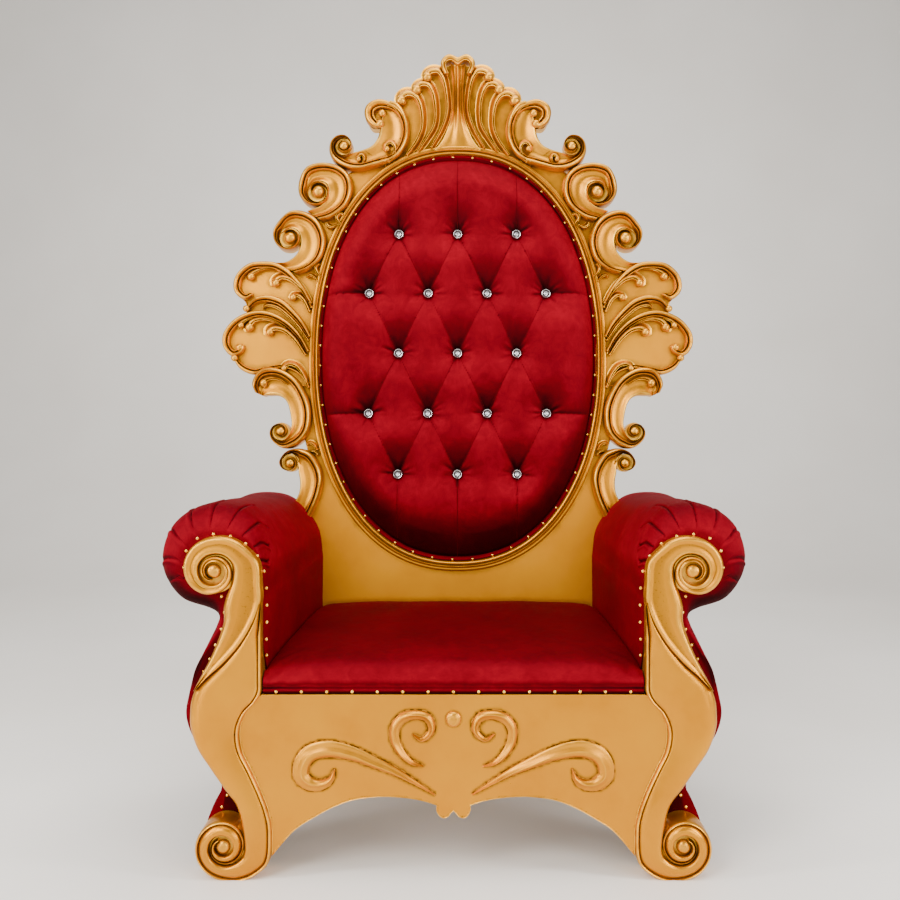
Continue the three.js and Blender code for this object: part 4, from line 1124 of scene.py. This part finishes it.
class THRONE_OT_front_rail(ThronePiece, bpy.types.Operator):
    """Seat rail with four scrolls in relief, a boss and a pendant lip"""
    bl_idname = "throne.front_rail"
    bl_label = "Front rail"

    def build(self):
        mesh = bmesh.new()
        edge = smooth_path(RAIL_EDGE, 50) + smooth_path(RAIL_ARCH, 60) + smooth_path(RAIL_LIP, 22)[1:]
        plate(mesh, wholly([(0, RAIL_TOP)] + edge), -45.0, -15.0, 1.6, 5.0)
        scrolls = bmesh.new()
        for points in (RAIL_LONG, RAIL_SHORT):
            rib(scrolls, points, -15.2, -4.5, RAIL_PROFILE, step=3.0, sink=5, round_tip=False)
            raised = len(scrolls.faces)
            # A flat dark strip just wider than each scroll: painted shadow and brown antiquing round
            # its foot.
            wide = [(x, y, width + 3.0) for x, y, width in points]
            rib(scrolls, wide, -15.4, -14.6, ROUND_PROFILE, step=3.0, sink=5, round_tip=False)
            use_finish(scrolls, 1, raised)
        mirrored(scrolls)
        knob(scrolls, 0, 321, 16, -15.0, 0.6)
        held = bpy.data.meshes.new("relief")
        scrolls.to_mesh(held)
        scrolls.free()
        mesh.from_mesh(held)
        bpy.data.meshes.remove(held)
        piece = finished(mesh, "carved_rail", front_place(), gold_paint(),
                         ["front_rail"], 40)
        piece.data.materials.append(self.shadow_paint())
        measure_relief(piece, 26.0)

    @staticmethod
    def shadow_paint():
        """Dark brown outline round the relief, broken by gold: brown antiquing and painted shadow at
        the relief's foot.
        """
        return mottled("wiped_brown", (30.0, 130.0, 900.0),
                       [(0.42, (0.07, 0.024, 0.001, 1)), (0.58, (0.5, 0.2, 0.004, 1))],
                       0.4, 0.2, rough_by=0, Metallic=0.8)


class THRONE_OT_rear_legs(ThronePiece, bpy.types.Operator):
    """Sabre legs behind, and the bare board under the seat"""
    bl_idname = "throne.rear_legs"
    bl_label = "Rear legs"

    def build(self):
        depth = (CAD_BOX[1][1] - CAD_BOX[0][1]) / MM

        def touch(height):
            return LEG_TOUCH + (height - LEAN_FROM) * math.tan(RECLINE)

        back = smooth_path([(touch(430) + 46, 430), (touch(300) + 56, 300), (640, 170), (668, 80),
                            (depth, 0)], 26)
        front = smooth_path([(depth - 56, 0), (622, 90), (597, 160), (touch(220), 220)], 18)
        for name in ("rear_leg_right", "rear_leg_left"):
            low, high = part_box(name)
            mesh = bmesh.new()
            plate(mesh, back + front + [(touch(430), 430)], 0.0, (high.x - low.x) / MM, 3.0, 18.0)
            turn = Matrix(((0, 0, 1, 0), (1, 0, 0, 0), (0, 1, 0, 0), (0, 0, 0, 1)))
            place = (Matrix.Translation((low.x, CAD_BOX[0][1], 0)) @ turn @ Matrix.Scale(MM, 4))
            piece = finished(mesh, "sabre_" + name, place, gold_paint(), [name], 40)
            measure_relief(piece)
        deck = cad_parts["seat_deck"].data
        deck.materials.clear()
        deck.materials.append(self.bare_board())

    @staticmethod
    def bare_board():
        """Unpainted board with its grain running across."""
        material, tree, shader = fresh_material("bare_board")
        middle = mottling(tree, 5.0, 40.0, 500.0)[1]
        grain = node(tree, "ShaderNodeTexWave", wave_type="BANDS", bands_direction="Y",
                     in_Vector=coordinates(tree), in_Scale=14.0, in_Distortion=5.0, in_Detail=3.0)
        stops = [(0.2, (0.30, 0.18, 0.09, 1)), (0.8, (0.46, 0.31, 0.17, 1))]
        dressed(tree, shader, Base_Color=ramp(tree, grain.outputs["Fac"], stops),
                Roughness=summed(tree, 0.6, (middle, 0.2)))
        return material


# ---- seat and arms --------------------------------------------------------------------------------
SEAT_HALF, SEAT_TAPER, SEAT_DEPTH = 386.0, 38.0, 582.0
ARM_TUCKED = [(386, 560), (385, 612), (397, 652), (428, 684), (486, 696), (520, 688), (543, 665),
              (551, 634), (545, 600), (522, 577), (474, 562), (468, 525), (473, 498)]
ARM_FULL = [(386, 560), (386, 630), (403, 690), (438, 736), (488, 750), (546, 737), (590, 699),
            (607, 645), (600, 600), (566, 554), (506, 531), (484, 522), (491, 498)]
SIDE_PANEL = [(515, 447), (534, 408), (549, 351), (554, 318), (545, 280), (521, 240), (492, 200),
              (480, 165), (496, 131), (511, 90), (514, 50), (504, 0)]
ROLL_EYE = (490, 625)
ARM_FACE = 25.6               # depth of the front of the upholstered arm


def seat_half(depth):
    return SEAT_HALF - SEAT_TAPER * depth / SEAT_DEPTH


def board_depth(height):
    """Depth of the face of the leaning board at a height."""
    return SEAT_DEPTH + (height - LEAN_FROM) * math.tan(RECLINE)


class THRONE_OT_seat(ThronePiece, bpy.types.Operator):
    """Velvet seat with a rolled front edge"""
    bl_idname = "throne.seat"
    bl_label = "Seat"

    def build(self):
        mesh = bmesh.new()
        across = 96
        sections = []
        for i in range(across + 1):
            share = math.sin(math.pi / 2 * (2 * i / across - 1))
            swell = 0.86 + 0.14 * (1 - abs(share) ** 5)
            outline = smooth_path(self.outline(76 * swell), 120)
            section = []
            for depth, height in outline[:-1]:
                x = share * (seat_half(depth) - 1.5)
                height += self.wrinkle(x, depth, height)
                if height > RAIL_TOP + 50:
                    height -= 12 * math.exp((abs(x) - seat_half(depth)) / 8)
                section.append((x, height, -depth))
            sections.append(section)
        skin(mesh, sections)
        piece = finished(mesh, "velvet_seat", front_place(), velvet(),
                         ["seat_cushion"], 60)
        measure_relief(piece, 60.0)

    @staticmethod
    def outline(crown):
        """Side view of the seat, as (depth, height) round from the foot of its front."""
        low, top = RAIL_TOP + 0.4, RAIL_TOP + crown

        def rear(height):
            return board_depth(height) - 1.4

        return [(19, low), (13.5, low + 5), (13, low + 9), (18.5, low + 11.5), (13.5, low + 14),
                (12.5, low + 18), (13, low + 30), (20, top - 28), (34, top - 15), (60, top - 9),
                (120, top - 3), (220, top + 3), (330, top + 7), (430, top + 9), (520, top + 8),
                (558, top + 2), (rear(top - 14), top - 14), (rear(low + 20), low + 20),
                (rear(low), low), (300, low), (19, low)]

    @staticmethod
    def wrinkle(x, depth, height):
        if height < RAIL_TOP + 20:
            return 0.0
        front = math.exp(-max(0.0, depth - 13) / 22)
        ripple = 1.1 * math.sin(x / 51.0 * 2 * math.pi) * front
        slack = 1.6 * noise.noise(Vector((x / 95, depth / 120, 1.0)))
        corner = math.exp(-((abs(x) - 340) / 40) ** 2) * math.exp(-((depth - 60) / 60) ** 2)
        fold = 1.5 * corner * math.sin((abs(x) + depth) / 7.0)
        return ripple + slack + fold


class THRONE_OT_arms(ThronePiece, bpy.types.Operator):
    """Rolled velvet arms, pleated round the scrolls, with the padded panels below them"""
    bl_idname = "throne.arms"
    bl_label = "Arms"

    def build(self):
        near = (0, 1, 2.5, 4.5, 7, 9.5, 12, *range(15, 79, 3), 82, 86, 91, 96, *range(101, 204, 6), 210)
        stations = [ARM_FACE + away for away in (*near, *range(220, 521, 20))]
        sections = [[(x, y, -depth) for x, y in self.section(depth)] for depth in stations]
        sections.append([(x, y, 0.6 - board_depth(y)) for x, y in self.section(SEAT_DEPTH)])
        for name, side in (("arm_right", 1), ("arm_left", -1)):
            mesh = bmesh.new()
            skin(mesh, sections)
            self.clear_leg(mesh)
            if side < 0:
                turned_left(mesh)
            piece = finished(mesh, "velvet_" + name, front_place(), velvet(), [name], 60)
            measure_relief(piece, 50.0)

    @staticmethod
    def section(depth):
        """Outline of an arm at a depth: its inner face, the roll gathered round it and the panel."""
        foot = 12 + 190 * smoothstep(90, 270, depth)
        seat = seat_half(depth)
        run = min(1.0, (depth - ARM_FACE) / 78)
        swell = math.sqrt(1 - (1 - run) ** 2.3)
        roll = []
        for i, (tucked, full) in enumerate(zip(ARM_TUCKED, ARM_FULL)):
            x1 = full[0] - (SEAT_HALF - seat) * max(0.0, 1 - i / 4)
            roll.append((tucked[0] + (x1 - tucked[0]) * swell,
                         tucked[1] + (full[1] - tucked[1]) * swell))
        sink = 0.2 * smoothstep(60, 560, depth)
        roll = [(x + 30 * sink * smoothstep(600, 680, y), y - sink * max(0.0, y - ROLL_EYE[1]))
                for x, y in roll]
        gathered = []
        for x, y in smooth_path(roll, 420):
            out = Vector((x - ROLL_EYE[0], y - ROLL_EYE[1]))
            shift = pleat(math.atan2(out.y, out.x), out.length, depth) * smoothstep(575, 610, y)
            shift += 1.3 * noise.noise(Vector((x / 60, y / 60, depth / 90))) * swell
            out.normalize()
            gathered.append((x + out.x * shift, y + out.y * shift))
        reach, heights = zip(*smooth_path(SIDE_PANEL, 60)[::-1])
        start = SIDE_PANEL[0][1]
        panel = []
        for i in range(61):
            y = start + (foot - start) * i / 60
            round_in = 3.5 * math.exp(-abs(y - foot) / 8) + 10 * (1 - swell)
            panel.append((float(np.interp(y, heights, reach)) - round_in, y))
        inner = [(seat, y) for y in np.linspace(340, 540, 40)]
        return [(432, foot), (432, 334), *inner, *gathered, *panel]

    @staticmethod
    def clear_leg(mesh):
        """Steps the panel back behind the thick part of the front leg."""
        for vert in mesh.verts:
            vert.co.z = min(vert.co.z, -panel_face(vert.co.y))


def panel_face(height):
    """Depth of the front of the padded side panel."""
    return ARM_FACE + 39.0 * (1 - smoothstep(RAIL_TOP + 1, 475, height))


# Pleats round the front of an arm: direction in degrees, depth where each ends, and its hook.
PLEATS = [(172, 70, 0.10), (154, 100, 0.14), (134, 150, 0.16), (112, 190, 0.05), (88, 200, -0.05),
          (64, 160, -0.12), (40, 100, -0.16), (12, 76, -0.16), (-14, 62, -0.12)]


def pleat(angle, radius, depth):
    """How far the pleats push the cloth of an arm out or in at a place near its front."""
    shift = 0.0
    for degrees, end, hook in PLEATS:
        line = math.radians(degrees) + hook * smoothstep(end - 50, end, depth)
        across = math.remainder(angle - line, 2 * math.pi) * radius
        fade = 1 - smoothstep(end - 6, end + 3, depth)
        shift -= 5.0 * math.exp(-abs(across) / 2.2) * fade
        shift += 1.8 * math.exp(-((across - math.copysign(6.5, hook)) / 4.5) ** 2) * fade
        shift -= 2.4 * math.exp(-(across / 5) ** 2 - ((depth - end) / 4.5) ** 2)
    return shift


def smoothstep(low, high, value):
    t = min(1.0, max(0.0, (value - low) / (high - low)))
    return t * t * (3 - 2 * t)


# ---- nails ----------------------------------------------------------------------------------------
ARM_NAILS = [(381.5, 376), (381.5, 606), (396, 646), (428, 678), (453, 688), (484, 692), (511, 688),
             (535, 669), (546, 643), (543, 613), (523, 586), (488, 570), (469, 568), (464, 545),
             (466, 516), (477, 480), (496, 438), (513, 406)]


FOOT_NAILS = [(468, 148), (479, 124)]
NAIL_INSET = 4.0              # nails of the oval stand this far inside the moulding
OVAL_GAP, REAR_GAP, ARM_GAP, SEAT_GAP = 52.0, 50.0, 35.0, 51.0    # from nail to nail


class THRONE_OT_nails(ThronePiece, bpy.types.Operator):
    """Brass upholstery nails round the oval, the arms, the seat and the rear cover"""
    bl_idname = "throne.nails"
    bl_label = "Nails"

    def build(self):
        radius = bpy.context.scene.throne_sizes.nail_radius / MM
        back, front = bmesh.new(), bmesh.new()
        for x, y in self.spaced(oval_ring(-NAIL_INSET, 400), OVAL_GAP):
            self.nail(back, x, y, PAD_EDGE + 0.5, radius)
        for x, y in self.spaced(oval_ring(12.0, 400), REAR_GAP):
            self.nail(back, x, y, -BOARD - 4.5, radius, -1)
        for side in (1, -1):
            for x, y in self.spaced(smooth_path(ARM_NAILS, 200), ARM_GAP):
                self.nail(front, side * x, y, -panel_face(y), radius)
            for x, y in FOOT_NAILS:
                self.nail(front, side * x, y, -64.6, radius)
        for i in range(-7, 8):
            self.nail(front, i * SEAT_GAP, RAIL_TOP + 6.5, -13.0, radius)
        finished(back, "back_nails", back_place(), self.brass(), [], 60)
        finished(front, "front_nails", front_place(), self.brass(), [], 60)

    @staticmethod
    def spaced(line, gap):
        return smooth_path(line[::4] + [line[-1]], round(path_length(line) / gap))

    @staticmethod
    def nail(mesh, x, y, level, radius, face=1):
        knob(mesh, x, y, radius, level, 0.62 * face, 10, 6)

    @staticmethod
    def brass():
        return mottled("brass_nails", (20.0, 160.0, 1200.0),
                       [(0.35, (0.8, 0.4, 0.03, 1)), (0.65, (1.0, 0.62, 0.12, 1))],
                       0.18, 0.16, bump=(0.1, 0.0004), Metallic=1.0)


# ---- stage ----------------------------------------------------------------------------------------
FLOOR_HALF, FLOOR_SHIFT = 10.0, -7.2    # half the floor's width, and how far it is moved forward
WALL, COVE_STEP, COVE_STEPS = 6.0, 0.3, 8
DAYLIGHT = (1.0, 0.97, 0.93)
# Soft lamps: where each stands, what it faces, its size, its power and its colour.
LAMPS = {
    "key": ((-1.8, -2.7, 3.0), (0, 0, 1.0), (1.6, 1.6), 95, (1.0, 0.95, 0.88)),
    "fill": ((2.4, -2.9, 1.9), (0, 0, 0.9), (1.4, 2.0), 42, (1.0, 0.95, 0.9)),
    "top": ((0.2, -0.5, 3.4), (0, 0, 0.8), (2.2, 1.4), 70, DAYLIGHT),
    "left_window": ((-2.1, -0.9, 1.3), (0, 0.1, 0.9), (0.25, 1.7), 34, DAYLIGHT),
    "front_wall": ((0, -4.6, 1.5), (0, 0, 1.2), (4.0, 2.2), 52, DAYLIGHT),
    "left_strip": ((-2.7, -3.1, 1.0), (0, -0.3, 0.8), (0.4, 2.0), 34, DAYLIGHT),
    "right_strip": ((2.7, -3.1, 1.0), (0, -0.3, 0.8), (0.3, 2.0), 20, DAYLIGHT),
    "backdrop": ((0, 1.3, 3.9), (0, 2.8, 1.2), (4.0, 0.8), 70, DAYLIGHT),
    "right_window": ((2.1, -0.9, 1.3), (0, 0.1, 0.9), (0.25, 1.7), 34, DAYLIGHT),
}
CAMERA_PLACE = (0.0366, CAD_BOX[0][1] - 2.0, 0.966)
CAMERA_LENS = dict(lens=40, sensor_width=36, shift_x=-0.024, shift_y=-0.0567)


class THRONE_OT_stage(ThronePiece, bpy.types.Operator):
    """Pale floor and backdrop, soft lights and the camera"""
    bl_idname = "throne.stage"
    bl_label = "Stage"

    def build(self):
        scene = bpy.context.scene
        floor = bpy.data.objects.new("floor", self.floor())
        scene.collection.objects.link(floor)

        world = bpy.data.worlds.new("soft_room")
        world.use_nodes = True
        background = world.node_tree.nodes["Background"]
        background.inputs["Color"].default_value = (*DAYLIGHT, 1)
        background.inputs["Strength"].default_value = 0.42
        scene.world = world
        for name, values in LAMPS.items():
            self.lamp(name, *values)

        lens = bpy.data.cameras.new("camera")
        for name, value in CAMERA_LENS.items():
            setattr(lens, name, value)
        camera = bpy.data.objects.new("camera", lens)
        camera.location = CAMERA_PLACE
        camera.rotation_euler = (math.pi / 2, 0, 0)
        scene.collection.objects.link(camera)
        scene.camera = camera

    @staticmethod
    def floor():
        """A floor that curves up into a backdrop."""
        mesh = bmesh.new()
        bmesh.ops.create_grid(mesh, x_segments=1, y_segments=1, size=FLOOR_HALF)
        edge = max(mesh.edges, key=lambda item: min(vert.co.y for vert in item.verts))
        for turn in range(1, COVE_STEPS + 1):
            made = bmesh.ops.extrude_edge_only(mesh, edges=[edge])["geom"]
            verts = [item for item in made if isinstance(item, bmesh.types.BMVert)]
            edge = next(item for item in made if isinstance(item, bmesh.types.BMEdge))
            angle = math.radians(90 * (turn - 0.5) / COVE_STEPS)
            step = COVE_STEP if turn < COVE_STEPS else WALL
            rise = (0, step * math.cos(angle), step * math.sin(angle))
            bmesh.ops.translate(mesh, verts=verts, vec=rise)
        bmesh.ops.translate(mesh, verts=mesh.verts, vec=(0, FLOOR_SHIFT, 0))
        data = bpy.data.meshes.new("floor")
        mesh.to_mesh(data)
        mesh.free()
        data.shade_smooth()
        data.materials.append(mottled("pale_floor", (1.2, 9.0, 90.0),
                                      [(0.3, (0.84, 0.815, 0.78, 1)), (0.7, (0.9, 0.88, 0.85, 1))],
                                      0.5, tint_by=0))
        return data

    @staticmethod
    def lamp(name, place, aim, size, power, colour):
        light = bpy.data.lights.new(name, "AREA")
        light.shape = "RECTANGLE"
        light.size, light.size_y = size
        light.energy, light.color = power, colour
        lamp = bpy.data.objects.new(name, light)
        lamp.location = place
        lamp.rotation_euler = (Vector(aim) - Vector(place)).to_track_quat("-Z", "Y").to_euler()
        bpy.context.scene.collection.objects.link(lamp)


class THRONE_PT_panel(bpy.types.Panel):
    """Lists the throne's pieces and its settings"""
    bl_label = "Throne"
    bl_idname = "THRONE_PT_panel"
    bl_space_type = "VIEW_3D"
    bl_region_type = "UI"
    bl_category = "Throne"

    def draw(self, context):
        for group in (context.scene.throne_sizes, context.scene.throne_colours):
            for name in group.bl_rna.properties.keys():
                if name not in ("name", "rna_type"):
                    self.layout.prop(group, name)
        for operator in OPERATORS:
            self.layout.operator(operator.bl_idname)


OPERATORS = (THRONE_OT_stage, THRONE_OT_back_frame, THRONE_OT_back_pad, THRONE_OT_buttons,
             THRONE_OT_rear_cover, THRONE_OT_front_legs, THRONE_OT_front_rail, THRONE_OT_rear_legs,
             THRONE_OT_seat, THRONE_OT_arms, THRONE_OT_nails)
CLASSES = (ThroneSizes, ThroneColours, *OPERATORS, THRONE_PT_panel)


def register():
    for cls in CLASSES:
        bpy.utils.register_class(cls)
    bpy.types.Scene.throne_sizes = bpy.props.PointerProperty(type=ThroneSizes)
    bpy.types.Scene.throne_colours = bpy.props.PointerProperty(type=ThroneColours)


def unregister():
    del bpy.types.Scene.throne_colours
    del bpy.types.Scene.throne_sizes
    for cls in reversed(CLASSES):
        bpy.utils.unregister_class(cls)


def main():
    register()
    for operator in OPERATORS:
        group, name = operator.bl_idname.split(".")
        getattr(getattr(bpy.ops, group), name)()


if __name__ == "__main__":
    main()
